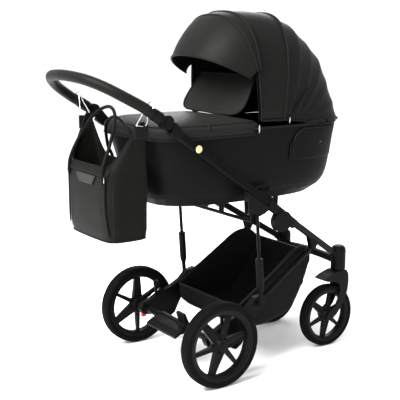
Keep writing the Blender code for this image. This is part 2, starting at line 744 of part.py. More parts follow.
def basket_skin(stations, inset):
    """Basket body, or its inside when inset by the wall and carried up past the rim."""
    rings = []
    for k, (x, top, bottom, half) in enumerate(stations):
        if inset:
            x += inset if k == 0 else -inset if k == len(stations) - 1 else 0
            top, bottom, half = top + 0.03, bottom + inset, half - inset
        corner = min(0.03, 0.45 * (top - bottom))
        ring = [(-half, top), (-half, bottom + corner), (-half + 0.3 * corner, bottom + 0.3 * corner)]
        ring += [(-half + corner, bottom), (half - corner, bottom)]
        ring += [(half - 0.3 * corner, bottom + 0.3 * corner), (half, bottom + corner), (half, top)]
        rings.append([(x, y, z) for y, z in ring])
    return loft(rings)


# Carrycot.

# Height, rear and front end, half width and squareness of the tub's level sections.
TUB_SECTIONS = [
    (0.618, -0.135, 0.565, 0.190, 3.2),
    (0.645, -0.147, 0.583, 0.200, 3.4),
    (0.690, -0.160, 0.594, 0.206, 3.6),
    (0.760, -0.180, 0.603, 0.210, 3.8),
    (0.810, -0.192, 0.611, 0.212, 4.0),
    (RIM_Z, COT_BACK_X, COT_FRONT_X, COT_HALF_WIDTH, 4.0),
]
BASE_SECTIONS = [
    (BASE_Z, -0.085, 0.482, 0.140, 2.8),
    (0.594, -0.120, 0.527, 0.172, 3.0),
    (0.6177, -0.134, 0.564, 0.1895, 3.2),
]


def cot_ring(section, inset, z=None, count=28):
    height, back, front, half_width, squareness = section
    middle = ((back + front) / 2, 0)
    height = height if z is None else z
    return oval(middle, (front - back) / 2 - inset, half_width - inset, height, squareness, count)


def carrycot_tub():
    """Padded wall of the carrycot, open above and below."""
    outer = [cot_ring(section, 0) for section in TUB_SECTIONS]
    inner = [cot_ring(section, COT_WALL) for section in TUB_SECTIONS[::-1]]
    add("carrycot_tub", loft(outer + inner, wrap=True), "shell_fabric", "carrycot")


def carrycot_base():
    """Moulded floor tray with four feet and the two adaptors that drop into the frame's sockets."""
    inner = [cot_ring(BASE_SECTIONS[2], 0.012), cot_ring(BASE_SECTIONS[1], 0.010, BASE_SECTIONS[1][0] + 0.004)]
    outer = [cot_ring(section, 0) for section in BASE_SECTIONS]
    obj = add("carrycot_base", loft(outer + inner), "black_plastic", "carrycot")
    places = [(x, y, 0) for x in (0.11, 0.345) for y in (-0.12, 0.12)]
    feet = [turned([(0.009, 0.552), (0.0105, 0.592)], 14, place, "Z") for place in places]
    unite(obj, joined(*feet), "feet")
    for end, side in SIDES.items():
        outline = [(0.183, 0.5985), (0.237, 0.5985), (0.244, 0.608), (0.244, 0.6275), (0.176, 0.6275), (0.176, 0.608)]
        unite(obj, prism(outline, *sorted((side * 0.2075, side * 0.2262))), f"adaptor_{end}")
        arm = [(0.187, 0.6000), (0.235, 0.6000), (0.235, 0.6140), (0.187, 0.6140)]
        unite(obj, prism(arm, *sorted((side * 0.172, side * 0.2100))), f"adaptor_arm_{end}")


def release_lever(end, side):
    """Loop pulled upwards to free the carrycot from its socket."""
    faces = sorted((side * 0.2140, side * 0.2225))
    outer = [(0.178, 0.6278), (0.241, 0.6278), (0.241, 0.6460), (0.233, 0.6515), (0.186, 0.6515), (0.178, 0.6460)]
    obj = add(f"release_lever_{end}", prism(outer, *faces), "black_plastic", f"release_lever_{end}")
    finger = [(0.188, 0.6345), (0.231, 0.6345), (0.231, 0.6450), (0.188, 0.6450)]
    cut(obj, prism(finger, side * 0.22 - 0.02, side * 0.22 + 0.02), "finger_slot")


def mattress():
    """Foam pad filling the bottom of the carrycot."""
    edge = COT_WALL + 0.004
    rings = [cot_ring(TUB_SECTIONS[0], edge, 0.6205, 28), cot_ring(TUB_SECTIONS[1], edge, 0.648, 28)]
    rings.append(cot_ring(TUB_SECTIONS[1], edge + 0.010, 0.6595, 28))
    add("mattress", loft(rings), "mattress_fabric", "carrycot")


def apron():
    """Cover over the foot end: a crowned sheet lying on the tub's rim, hollow beneath."""
    levels = [(RIM_Z + GAP, 1.0), (0.862, 0.97), (0.876, 0.76), (0.883, 0.30)]
    obj = add("apron", loft([apron_ring(share, z) for z, share in levels]), "shell_fabric", "carrycot")
    hollow = [apron_ring(0.95, RIM_Z - 0.01)] + [apron_ring(share - 0.03, z - 0.005) for z, share in levels[1:]]
    cut(obj, loft(hollow), "hollow")


def apron_ring(share, z, count=28):
    """Ring with the tub's rounded foot end and a straight edge under the hood."""
    middle = (COT_BACK_X + 0.215) / 2
    half_x, half_y = (0.215 - COT_BACK_X) / 2, COT_HALF_WIDTH - 0.001
    ring = []
    for k in range(count):
        angle = 2 * math.pi * k / count
        c, s = math.cos(angle), math.sin(angle)
        squareness = 4.0 if c < 0 else 8.0
        x = half_x * power(c, 2 / squareness)
        y = half_y * power(s, 2 / squareness)
        ring.append((middle + share * x, share * y, z))
    return ring


def head_flap():
    """Wind flap raised from the apron towards the hood."""
    rows = []
    stations = [(0.0, 0.0, 0.166), (0.12, 0.012, 0.175), (0.35, 0.038, 0.178), (0.7, 0.080, 0.166), (1.0, 0.114, 0.146)]
    for share, rise, half in stations:
        x = FLAP_PIVOT[0] + 0.001 + 0.070 * share
        z = FLAP_PIVOT[1] + 0.004 + rise
        spread = [k / 6 - 1 for k in range(13)]
        rows.append([(x + 0.012 * math.cos(0.5 * math.pi * t), half * t, z) for t in spread])
    obj = add("head_flap", grid(rows), "shell_fabric", "head_flap_hinge")
    thicken(obj, 0.004)


def hoop(base_x, base_z, top_x, top_z, half_width, squareness=2.8, count=15, reach=90):
    """Arch across the hood from one side of the rim over its top to the other."""
    row = []
    for k in range(count):
        angle = math.radians(reach * (2 * k / (count - 1) - 1))
        lift = abs(math.cos(angle)) ** (2 / squareness)
        row.append(
            (base_x + (top_x - base_x) * lift, half_width * power(math.sin(angle), 2 / squareness),
             base_z + (top_z - base_z) * lift)
        )
    return row


HOOD_FRONT_HOOP = (0.212, 0.866, 0.192, 1.225)
HOOD_MID_HOOP = (0.308, 0.864, 0.352, 1.219)


def hood_sheet(name, hoops, body, finish="shell_fabric"):
    rows = [hoop(*sizes) for sizes in hoops]
    return thicken(add(name, grid(rows), finish, body), HOOD_SKIN)


def between(first, second, share, bulge=0.0):
    """Hoop sizes part of the way from one hoop to the next, standing out by bulge at the top."""
    base_x, base_z, top_x, top_z = (a + share * (b - a) for a, b in zip(first, second))
    return base_x, base_z, top_x, top_z + bulge, HOOD_HALF_WIDTH


def hood_panels():
    front, mid = HOOD_FRONT_HOOP, HOOD_MID_HOOP
    front_panel = [between(front, mid, share, bulge) for share, bulge in ((0, 0), (0.33, 0.003), (0.67, 0.003))]
    front_panel.append(between(front, (mid[0] - 0.003, mid[1], mid[2] - 0.003, mid[3]), 1.0))
    hood_sheet("hood_front_panel", front_panel, "hood_front")
    rear = [
        (mid[0], mid[1], mid[2], mid[3], HOOD_HALF_WIDTH),
        (0.330, 0.862, 0.424, 1.189, HOOD_HALF_WIDTH, 2.75),
        (0.350, 0.860, 0.497, 1.136, HOOD_HALF_WIDTH, 2.5),
        (0.368, 0.858, 0.557, 1.079, HOOD_HALF_WIDTH, 2.4),
        (0.384, 0.856, 0.590, 1.002, HOOD_HALF_WIDTH, 2.5),
        (0.396, 0.853, 0.618, 0.922, HOOD_HALF_WIDTH, 2.7),
        (0.404, 0.849, 0.638, 0.850, HOOD_HALF_WIDTH, 2.8),
    ]
    hood_sheet("hood_rear_panel", rear, "carrycot")


def hood_visor():
    """Stiff brim in front of the first bow."""
    anchor_x, anchor_z = 0.208, 0.998
    tops = [(0.189, 1.2255, 0.206), (0.142, 1.212, 0.206), (0.098, 1.173, 0.204), (0.058, 1.124, 0.200)]
    tops.append((0.032, 1.081, 0.194))
    rows = []
    for share, (top_x, top_z, half) in enumerate(tops):
        rows.append(hoop(anchor_x - 0.004 * share, anchor_z, top_x, top_z, half, 2.5 - 0.1 * share, 15, 84))
    thicken(add("hood_visor", grid(rows), "shell_fabric", "hood_front"), HOOD_SKIN)


def hood_bow(name, body, sizes, inset):
    """Flat bow under the hood's skin."""
    base_x, base_z, top_x, top_z = sizes
    route = hoop(base_x, base_z, top_x, top_z - inset, HOOD_HALF_WIDTH - inset, 2.8, 17)
    section = [(-0.006, -0.0015), (0.006, -0.0015), (0.006, 0.0015), (-0.006, 0.0015)]
    rings = []
    for k, point in enumerate(route):
        before, after = Vector(route[max(k - 1, 0)]), Vector(route[min(k + 1, len(route) - 1)])
        ahead = (after - before).normalized()
        wide = Vector((1, 0, 0))
        outward = wide.cross(ahead).normalized()
        rings.append([Vector(point) + u * wide + v * outward for u, v in section])
    add(name, loft(rings), "black_plastic", body)


# Changing bag.


def bag_ring(share, inset, count=24):
    """Ring at a share of the height between the bag's floor and its scooped mouth."""
    ring = []
    for k in range(count):
        angle = 2 * math.pi * k / count
        c, s = power(math.cos(angle), 0.38), power(math.sin(angle), 0.38)
        mouth = BAG_MOUTH + (BAG_SHOULDER - BAG_MOUTH) * abs(math.sin(angle)) ** 5
        floor = BAG_BOTTOM + inset
        z = floor + share * (mouth - floor)
        above = max(0.0, (z - 0.72) / (BAG_SHOULDER - 0.72))
        depth = (BAG_HALF_DEPTH - inset) * (1 - 0.78 * above**1.2) * (0.94 + 0.06 * min(1, share / 0.15))
        width = (BAG_HALF_WIDTH - inset) * (0.95 + 0.05 * min(1, share / 0.15)) + 0.028 * above
        lean = 0.004 * (1 - share) + 0.030 * above
        ring.append((BAG_X + lean + depth * c, width * s, z))
    return ring


def bag_body():
    """Tote with a scooped mouth, open above."""
    shares = (0, 0.08, 0.45, 0.8, 1.0)
    outer = [bag_ring(share, 0) for share in shares]
    inner = [bag_ring(share, 0.006) for share in shares[::-1]]
    add("bag_body", loft(outer + inner), "bag_leather", "bag", sharp=50)


def bag_strap(end, side):
    """Webbing tab with the wire hook that hangs on the handlebar."""
    x, z = HOOK_POINT
    half_wide, low, high = 0.024, BAG_SHOULDER - 0.042, BAG_SHOULDER - 0.006
    inner = side * (BAG_HALF_WIDTH + 0.0300)
    faces = sorted((inner, inner + side * 0.0035))
    webbing = box((x - half_wide, faces[0], low), (x + half_wide, faces[1], high))
    obj = add(f"bag_strap_{end}", webbing, "black_fabric", "bag")
    foot_y = inner + side * 0.00175
    loop = [(x - 0.016, foot_y, high - 0.002), (x + 0.016, foot_y, high - 0.002)]
    loop += [(x + 0.006, side * 0.2165, z + 0.002), (x + 0.003, side * 0.2280, z + 0.0262)]
    loop += [(x, side * 0.2500, z + 0.0272)]
    loop += [(x - 0.003, side * 0.2280, z + 0.0262), (x - 0.006, side * 0.2165, z + 0.002)]
    unite(obj, sweep(loop, round_section(0.0017, 8), upward=(1, 0.3, 0.1), wrap=True), "hook")


def bag_handle(name, half_route, apex):
    """Round carrying handle sewn to the bag's face, leaning in over the mouth."""
    route = [(x, y, z) for x, y, z in half_route] + [(apex[0], 0, apex[1])]
    route += [(x, -y, z) for x, y, z in half_route[::-1]]
    add(name, sweep(smooth_path(route, 2), round_section(0.0055, 6), upward=(1, 0, 0)), "black_fabric", "bag")


def add_side_bodies():
    """Pivots of the pieces that come in a left and a right copy."""
    button = rail(BUTTON_ALONG, 0)
    for end, side in SIDES.items():
        make_body(f"fold_button_{end}", "upper_frame", (button[0], side * RAIL_Y, button[1]))
        make_body(f"tilt_button_{end}", "handlebar", (TILT_PIVOT[0], side * RAIL_Y, TILT_PIVOT[1]))
        make_body(f"wheel_release_{end}", "rear_frame", (0, side * BRACKET_Y, 0.13))
        make_body(f"strut_rod_{end}", "chassis", (STRUT_TOP[0], side * STRUT_Y, STRUT_TOP[1]))
        make_body(f"strut_sleeve_{end}", "rear_frame", (STRUT_FOOT[0], side * STRUT_Y, STRUT_FOOT[1]))
        make_body(f"rear_wheel_{end}", "rear_frame", (0, side * REAR_Y, REAR_RADIUS))
        make_body(f"caster_{end}", "chassis", (SWIVEL_X, side * FRONT_Y, SWIVEL_BOTTOM))
        make_body(f"front_wheel_{end}", f"caster_{end}", (FRONT_AXLE_X, side * FRONT_Y, FRONT_RADIUS))
        make_body(f"release_lever_{end}", "carrycot", (0.209, side * 0.218, 0.628))


def build_sides():
    for end, side in SIDES.items():
        fold_housing(end, side)
        front_leg(end, side)
        swivel_housing(end, side)
        upper_tube(end, side)
        fold_button(end, side)
        handle_sleeve(end, side)
        handle_knuckle(end, side)
        tilt_button(end, side)
        rear_tube(end, side)
        rear_bracket(end, side)
        wheel_release(end, side)
        strut_rod(end, side)
        strut_sleeve(end, side)
        rear_wheel(end, side, 90 if side > 0 else 10)
        front_wheel(end, side, 90 if side > 0 else 20)
        caster_fork(end, side)
        release_lever(end, side)
        bag_strap(end, side)


def build():
    clear_scene()
    make_finishes()
    make_bodies()
    add_side_bodies()
    build_sides()
    front_cross_tube()
    seat_cross_tube()
    handle_grip()
    rear_axle()
    brake_pedal()
    shopping_basket()
    carrycot_tub()
    carrycot_base()
    mattress()
    apron()
    head_flap()
    hood_panels()
    hood_visor()
    hood_bow("hood_bow_front", "hood_front", HOOD_FRONT_HOOP, 0.0085)
    hood_bow("hood_bow_mid", "hood_mid", HOOD_MID_HOOP, 0.0115)
    bag_body()
    rear = [(-0.3435, 0.115, 0.690), (-0.338, 0.115, 0.748), (-0.308, 0.106, 0.815), (-0.268, 0.070, 0.893)]
    bag_handle("bag_handle_rear", rear, (-0.250, 0.922))
    front = [(-0.1820, 0.105, 0.690), (-0.1850, 0.105, 0.744), (-0.206, 0.098, 0.785), (-0.224, 0.072, 0.856)]
    bag_handle("bag_handle_front", front, (-0.230, 0.888))


build()
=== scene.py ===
"""Looks of the pram: cloth, leather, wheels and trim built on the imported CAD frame, in a pale studio.

Places are laid out like the CAD's own: metres from the floor under the rear axle, +X towards the front wheels.
place() moves them to the frame, whose rear wheel says where that axle is.
"""

import math

import bmesh
import bpy
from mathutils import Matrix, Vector, noise


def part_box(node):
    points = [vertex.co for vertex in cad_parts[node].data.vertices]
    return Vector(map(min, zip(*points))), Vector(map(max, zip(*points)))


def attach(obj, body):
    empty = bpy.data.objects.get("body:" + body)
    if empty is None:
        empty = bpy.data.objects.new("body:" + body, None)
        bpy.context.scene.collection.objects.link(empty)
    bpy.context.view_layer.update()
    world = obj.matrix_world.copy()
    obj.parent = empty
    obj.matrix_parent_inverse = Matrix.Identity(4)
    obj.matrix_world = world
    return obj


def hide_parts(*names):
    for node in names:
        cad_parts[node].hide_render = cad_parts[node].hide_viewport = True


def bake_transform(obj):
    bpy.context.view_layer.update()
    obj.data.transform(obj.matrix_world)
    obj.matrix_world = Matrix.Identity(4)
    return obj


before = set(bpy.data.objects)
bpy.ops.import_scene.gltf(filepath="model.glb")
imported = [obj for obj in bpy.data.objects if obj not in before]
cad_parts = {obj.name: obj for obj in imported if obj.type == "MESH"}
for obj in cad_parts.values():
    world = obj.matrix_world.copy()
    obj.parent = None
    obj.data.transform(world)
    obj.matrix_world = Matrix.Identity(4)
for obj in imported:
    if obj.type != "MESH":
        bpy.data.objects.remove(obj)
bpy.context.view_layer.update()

AXLE_X = sum(corner[0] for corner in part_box("rear_tyre_left")) / 2

SIDES = {"left": 1, "right": -1}

# Driving sizes.
RIM_Z = 0.845
COT_BACK_X = -0.198
COT_FRONT_X = 0.618
COT_HALF_WIDTH = 0.213
HOOD_HALF_WIDTH = 0.207
RAIL_Y = 0.240
GRIP_RADIUS = 0.017
APRON_FRONT_X = 0.215
BAG_X = -0.2645
BAG_HALF_DEPTH = 0.0765
BAG_HALF_WIDTH = 0.155
BAG_BOTTOM = 0.497
BAG_MOUTH = 0.742
BAG_SHOULDER = 0.885
HOOK = (-0.242, 0.9236)
FLAP_PIVOT = (0.150, 0.889)
REAR_RADIUS = 0.145
REAR_WIDTH = 0.044
FRONT_RADIUS = 0.116
FRONT_WIDTH = 0.038
FRONT_AXLE_X = 0.561

# Points that trim is pushed away from.
HOOD_CENTRE = (0.28, 0, 0.95)
VISOR_CENTRE = (0.2, 0, 1.0)
BASKET_CENTRE = (0.3, 0, 0.3)

# Hood arches: base x and z at the rim, top x and z at the crown, squareness.
FRONT_ARCH = (0.212, 0.866, 0.192, 1.225, 2.8)
MID_ARCH = (0.308, 0.864, 0.352, 1.219, 2.8)
BACK_ARCHES = [
    (0.330, 0.862, 0.424, 1.189, 2.75),
    (0.350, 0.860, 0.497, 1.136, 2.5),
    (0.368, 0.858, 0.557, 1.079, 2.4),
    (0.384, 0.856, 0.592, 1.003, 2.5),
    (0.396, 0.853, 0.618, 0.922, 2.7),
    (0.404, 0.850, 0.638, 0.853, 2.8),
]

# Height, rear end, front end, half width and squareness of the cot's level sections.
COT_SECTIONS = [
    (0.618, -0.135, 0.565, 0.190, 3.2),
    (0.645, -0.147, 0.583, 0.200, 3.4),
    (0.690, -0.160, 0.594, 0.206, 3.6),
    (0.760, -0.180, 0.603, 0.210, 3.8),
    (0.810, -0.192, 0.611, 0.212, 4.0),
    (RIM_Z, COT_BACK_X, COT_FRONT_X, COT_HALF_WIDTH, 4.0),
]

BASKET_STATIONS = [
    # x, top, bottom, half width
    (0.134, 0.224, 0.166, 0.183),
    (0.165, 0.246, 0.144, 0.185),
    (0.240, 0.294, 0.132, 0.184),
    (0.320, 0.346, 0.143, 0.181),
    (0.385, 0.388, 0.166, 0.176),
    (0.440, 0.396, 0.240, 0.168),
    (0.478, 0.368, 0.318, 0.160),
]

# One far-apart part of the noise for each axis.
NOISE_SHIFTS = (Vector((0, 0, 0)), Vector((31.4, 0, 0)), Vector((57.2, 0, 0)))

MATERIALS = {}


def place(x, y, z):
    return Vector((x + AXLE_X, y, z))


# Camera, light and floor.


def add_camera():
    camera = bpy.data.objects.new("camera", bpy.data.cameras.new("camera"))
    bpy.context.scene.collection.objects.link(camera)
    camera.data.lens = 82.2
    camera.data.sensor_width = 36
    camera.location = place(-1.660, -2.604, 1.196)
    aim = place(0.103, 0, 0.576)
    camera.rotation_euler = (aim - camera.location).to_track_quat("-Z", "Y").to_euler()
    bpy.context.scene.camera = camera


def add_area(name, location, aim, size, power, colour=(1, 1, 1)):
    light = bpy.data.objects.new(name, bpy.data.lights.new(name, "AREA"))
    bpy.context.scene.collection.objects.link(light)
    light.data.size = size
    light.data.energy = power
    light.data.color = colour
    light.location = location
    light.rotation_euler = (Vector(aim) - Vector(location)).to_track_quat("-Z", "Y").to_euler()


def add_studio():
    world = bpy.data.worlds.new("studio")
    bpy.context.scene.world = world
    world.use_nodes = True
    background = world.node_tree.nodes["Background"]
    background.inputs["Color"].default_value = (1, 1, 1, 1)
    background.inputs["Strength"].default_value = 1.12
    add_area("key", (-2.6, -0.6, 3.4), (0, 0, 0.8), 2.2, 520, (1.0, 0.99, 0.97))
    add_area("side", (-2.8, -2.8, 1.3), (0, 0, 0.6), 1.6, 26)
    add_area("back", (2.2, 2.6, 2.2), (0, 0, 0.7), 1.8, 60)
    floor = bpy.data.objects.new("studio_floor", bpy.data.meshes.new("studio_floor"))
    reach = 30
    corners = [(-reach, -reach, 0), (reach, -reach, 0), (reach, reach, 0), (-reach, reach, 0)]
    floor.data.from_pydata(corners, [], [(0, 1, 2, 3)])
    bpy.context.scene.collection.objects.link(floor)
    floor.location.z = -0.001
    floor.data.materials.append(MATERIALS["floor"])
    bpy.context.scene.view_settings.view_transform = "Standard"


# Materials.


class Finish:
    """Node material with the object's own metres as its coordinates."""

    def __init__(self, name, colour, roughness, **sockets):
        self.material = bpy.data.materials.new(name)
        self.material.use_nodes = True
        self.tree = self.material.node_tree
        self.shader = self.tree.nodes["Principled BSDF"]
        self.shader.inputs["Base Color"].default_value = (*colour, 1)
        self.shader.inputs["Roughness"].default_value = roughness
        self.shader.inputs["Specular IOR Level"].default_value = 0.05
        for socket, value in sockets.items():
            self.shader.inputs[socket.replace("_", " ")].default_value = value
        self.material.diffuse_color = (*colour, 1)
        self.coordinates = self.tree.nodes.new("ShaderNodeTexCoord").outputs["Object"]
        self.colour = colour
        self.height = None
        MATERIALS[name] = self.material

    def node(self, kind, **settings):
        made = self.tree.nodes.new(kind)
        for key, value in settings.items():
            if key in made.inputs:
                made.inputs[key].default_value = value
            else:
                setattr(made, key, value)
        return made

    def link(self, output, target):
        self.tree.links.new(output, target)

    def speckle(self, scale, detail=3.0):
        made = self.node("ShaderNodeTexNoise", Scale=scale, Detail=detail)
        self.link(self.coordinates, made.inputs["Vector"])
        return made.outputs["Fac"]

    def bands(self, period, direction):
        """Sine bands, one every period metres along an axis."""
        made = self.node("ShaderNodeTexWave", wave_type="BANDS", bands_direction=direction)
        made.inputs["Scale"].default_value = 2 * math.pi / (20 * period)
        self.link(self.coordinates, made.inputs["Vector"])
        return made.outputs["Fac"]

    def cells(self, scale, feature="DISTANCE_TO_EDGE"):
        made = self.node("ShaderNodeTexVoronoi", Scale=scale, feature=feature)
        self.link(self.coordinates, made.inputs["Vector"])
        return made.outputs["Distance"]

    def math(self, operation, first, second):
        made = self.node("ShaderNodeMath", operation=operation)
        for socket, value in zip(made.inputs, (first, second)):
            if isinstance(value, (int, float)):
                socket.default_value = value
            else:
                self.link(value, socket)
        return made.outputs[0]

    def ramp(self, source, low, high, values):
        made = self.node("ShaderNodeMapRange")
        made.inputs["From Min"].default_value = low
        made.inputs["From Max"].default_value = high
        made.inputs["To Min"].default_value = values[0]
        made.inputs["To Max"].default_value = values[1]
        self.link(source, made.inputs["Value"])
        return made.outputs["Result"]

    def vary_colour(self, source, darker, lighter, low=0.3, high=0.7):
        """Colour running from darker to lighter times its own as the source rises."""
        share = self.ramp(source, low, high, (0, 1))
        mix = self.node("ShaderNodeMix", data_type="RGBA")
        mix.inputs["A"].default_value = (*(darker * c for c in self.colour), 1)
        mix.inputs["B"].default_value = (*(lighter * c for c in self.colour), 1)
        self.link(share, mix.inputs["Factor"])
        self.link(mix.outputs["Result"], self.shader.inputs["Base Color"])

    def vary_roughness(self, source, low_value, high_value):
        self.link(self.ramp(source, 0.3, 0.7, (low_value, high_value)), self.shader.inputs["Roughness"])

    def raise_by(self, source, distance):
        """Stacks another layer of bump."""
        bump = self.node("ShaderNodeBump", Distance=distance, Strength=1.0)
        self.link(source, bump.inputs["Height"])
        if self.height:
            self.link(self.height, bump.inputs["Normal"])
        self.height = bump.outputs["Normal"]
        self.link(self.height, self.shader.inputs["Normal"])


def woven(name, colour, roughness, thread, relief, sheen, contrast=0.14):
    """Cloth: a plain weave, a slow unevenness in tone and a soft sheen."""
    finish = Finish(name, colour, roughness, Sheen_Weight=sheen, Sheen_Roughness=0.5)
    weave = finish.math("MULTIPLY", finish.bands(thread, "DIAGONAL"), finish.bands(thread, "Z"))
    mottle = finish.speckle(38, 5)
    fleck = finish.speckle(900, 2)
    tone = finish.math("ADD", finish.math("MULTIPLY", mottle, 0.6), finish.math("MULTIPLY", fleck, 0.4))
    finish.vary_colour(tone, 1 - contrast, 1 + contrast)
    finish.vary_roughness(fleck, roughness - 0.08, min(1.0, roughness + 0.08))
    finish.raise_by(finish.speckle(14, 3), relief * 6)
    finish.raise_by(weave, relief)
    return finish


def leather(name, colour, roughness, grain, relief):
    finish = Finish(name, colour, roughness, Sheen_Weight=0.01)
    pebbles = finish.cells(grain)
    mottle = finish.speckle(30, 5)
    finish.vary_colour(mottle, 0.84, 1.16)
    finish.vary_roughness(finish.speckle(220, 3), roughness - 0.07, roughness + 0.09)
    finish.raise_by(finish.speckle(16, 3), relief * 5)
    finish.raise_by(finish.ramp(pebbles, 0.0, 0.18, (0, 1)), relief)
    return finish


def moulded(name, colour, roughness, grain=1100, relief=0.00006, **sockets):
    """Moulded plastic or paint: fine texture, paler worn edges and dust-dulled patches."""
    finish = Finish(name, colour, roughness, **sockets)
    edges = finish.node("ShaderNodeNewGeometry").outputs["Pointiness"]
    worn = finish.ramp(edges, 0.52, 0.60, (0, 1))
    patches = finish.speckle(26, 4)
    tone = finish.math("ADD", finish.math("MULTIPLY", worn, 0.45), finish.math("MULTIPLY", patches, 0.55))
    finish.vary_colour(tone, 0.85, 1.6, 0.2, 0.75)
    finish.vary_roughness(patches, roughness - 0.06, roughness + 0.10)
    finish.raise_by(finish.speckle(grain, 2), relief)
    return finish


def ribbed(name, colour, roughness, period, direction, relief):
    """Webbing or zip tape: close ribs across its length."""
    finish = Finish(name, colour, roughness, Sheen_Weight=0.01)
    finish.vary_colour(finish.speckle(240, 3), 0.8, 1.25)
    finish.raise_by(finish.bands(period, direction), relief)
    return finish


def make_materials():
    woven("hood_cloth", (0.0050, 0.0050, 0.0048), 0.50, 0.0012, 0.00005, 0.01)
    woven("cot_cloth", (0.0020, 0.0020, 0.0019), 0.50, 0.0012, 0.00005, 0.005)
    woven("apron_cloth", (0.0085, 0.0084, 0.0081), 0.50, 0.0012, 0.00005, 0.01)
    woven("lining", (0.0070, 0.0070, 0.0070), 0.85, 0.0010, 0.00005, 0.05)
    woven("quilt", (0.045, 0.045, 0.045), 0.9, 0.0014, 0.0001, 0.15)
    woven("basket_cloth", (0.0042, 0.0043, 0.0042), 0.80, 0.0016, 0.00012, 0.01)
    ribbed("piping", (0.006, 0.006, 0.006), 0.62, 0.0016, "DIAGONAL", 0.0001)
    ribbed("webbing", (0.006, 0.006, 0.006), 0.75, 0.0018, "X", 0.0002)
    ribbed("zip_tape", (0.003, 0.003, 0.003), 0.55, 0.0022, "Z", 0.0003)
    ribbed("thread", (0.018, 0.018, 0.018), 0.6, 0.0008, "DIAGONAL", 0.00005)
    leather("bag_leather", (0.0028, 0.0028, 0.0026), 0.47, 620, 0.00010)
    leather("bag_patch", (0.020, 0.020, 0.019), 0.45, 700, 0.00008)
    leather("grip_leather", (0.0048, 0.0047, 0.0042), 0.43, 760, 0.00009)
    moulded("moulding", (0.0022, 0.0022, 0.0023), 0.42)
    moulded("wheel_plastic", (0.0030, 0.0030, 0.0031), 0.36)
    moulded("tube_paint", (0.0018, 0.0018, 0.0019), 0.34, 1500, 0.00003, Metallic=0.2)
    moulded("rubber", (0.0014, 0.0014, 0.0014), 0.72, 500, 0.00015)
    moulded("gold", (0.62, 0.47, 0.25), 0.28, 900, 0.00002, Metallic=0.75)
    moulded("red", (0.50, 0.006, 0.006), 0.38)
    moulded("wire", (0.34, 0.34, 0.35), 0.28, 1400, 0.00002, Metallic=0.95)
    floor = Finish("floor", (0.93, 0.93, 0.93), 0.9)
    floor.vary_colour(floor.speckle(3), 0.995, 1.005)


# Shapes: each function returns (points, faces).


def loft(rings, wrap=False, capped=True):
    count = len(rings[0])
    points = [Vector(point) for ring in rings for point in ring]
    faces = []
    for a in range(len(rings) - (0 if wrap else 1)):
        b = (a + 1) % len(rings)
        for k in range(count):
            j = (k + 1) % count
            faces.append((a * count + k, a * count + j, b * count + j, b * count + k))
    if capped and not wrap:
        faces.append(tuple(range(count)))
        faces.append(tuple(range((len(rings) - 1) * count, len(rings) * count)))
    return points, faces


def grid(rows):
    count = len(rows[0])
    points = [Vector(point) for row in rows for point in row]
    faces = [
        (a * count + k, a * count + k + 1, (a + 1) * count + k + 1, (a + 1) * count + k)
        for a in range(len(rows) - 1)
        for k in range(count - 1)
    ]
    return points, faces


def joined(shapes):
    points, faces = [], []
    for more_points, more_faces in shapes:
        faces += [tuple(k + len(points) for k in face) for face in more_faces]
        points += more_points
    return points, faces


def power(value, exponent):
    return math.copysign(abs(value) ** exponent, value)


def blend_sizes(first, second, share):
    return tuple(a + share * (b - a) for a, b in zip(first, second))


def smooth_path(points, steps, closed=False):
    """Catmull-Rom curve through the points."""
    points = [Vector(point) for point in points]
    if closed:
        padded = [points[-1], *points, points[0], points[1]]
    else:
        padded = [2 * points[0] - points[1], *points, 2 * points[-1] - points[-2]]
    path = []
    for a, b, c, d in zip(padded, padded[1:], padded[2:], padded[3:]):
        for k in range(steps):
            t = k / steps
            path.append(
                0.5 * (2 * b + (c - a) * t + (2 * a - 5 * b + 4 * c - d) * t**2 + (3 * b - a - 3 * c + d) * t**3)
            )
    return path if closed else [*path, points[-1]]


def smooth_sizes(stations, steps):
    """Catmull-Rom through tuples of any length."""
    padded = [
        tuple(2 * a - b for a, b in zip(stations[0], stations[1])),
        *stations,
        tuple(2 * a - b for a, b in zip(stations[-1], stations[-2])),
    ]
    rows = []
    for a, b, c, d in zip(padded, padded[1:], padded[2:], padded[3:]):
        for k in range(steps):
            t = k / steps
            rows.append(
                tuple(
                    0.5 * (2 * q + (r - p) * t + (2 * p - 5 * q + 4 * r - s) * t**2 + (3 * q - p - 3 * r + s) * t**3)
                    for p, q, r, s in zip(a, b, c, d)
                )
            )
    return [*rows, stations[-1]]


def tube(path, radius, count=10, closed=False, flatten=1.0, upward=(0, 0, 1), taper=0):
    """Round or flattened tube along a path; taper ends it in that many narrowing rings."""
    path = [Vector(point) for point in path]
    rings = []
    last = len(path) - 1
    for k, point in enumerate(path):
        if closed:
            ahead = path[(k + 1) % len(path)] - path[k - 1]
        else:
            ahead = path[min(k + 1, last)] - path[max(k - 1, 0)]
        ahead.normalize()
        up = Vector(upward)
        if abs(up.dot(ahead)) > 0.98:
            up = Vector((1, 0.2, 0))
        up = (up - up.dot(ahead) * ahead).normalized()
        side = ahead.cross(up)
        size = radius
        if taper and not closed:
            size *= min(1.0, 0.35 + 0.65 * min(k, last - k) / taper)
        ring = []
        for j in range(count):
            angle = 2 * math.pi * j / count
            ring.append(point + size * math.cos(angle) * side + size * flatten * math.sin(angle) * up)
        rings.append(ring)
    return loft(rings, wrap=closed)


def stitched(path, length=0.0035, gap=0.0025, radius=0.0005):
    """Row of short thread stitches along a path."""
    path = [Vector(point) for point in path]
    shapes = []
    travelled, wanted = 0.0, 0.0
    for a, b in zip(path, path[1:]):
        step = (b - a).length
        while wanted < travelled + step:
            start = a + (b - a) * ((wanted - travelled) / max(step, 1e-9))
            ahead = (b - a).normalized()
            shapes.append(tube([start, start + 0.5 * length * ahead, start + length * ahead], radius, 5, taper=1))
            wanted += length + gap
        travelled += step
    return joined(shapes)


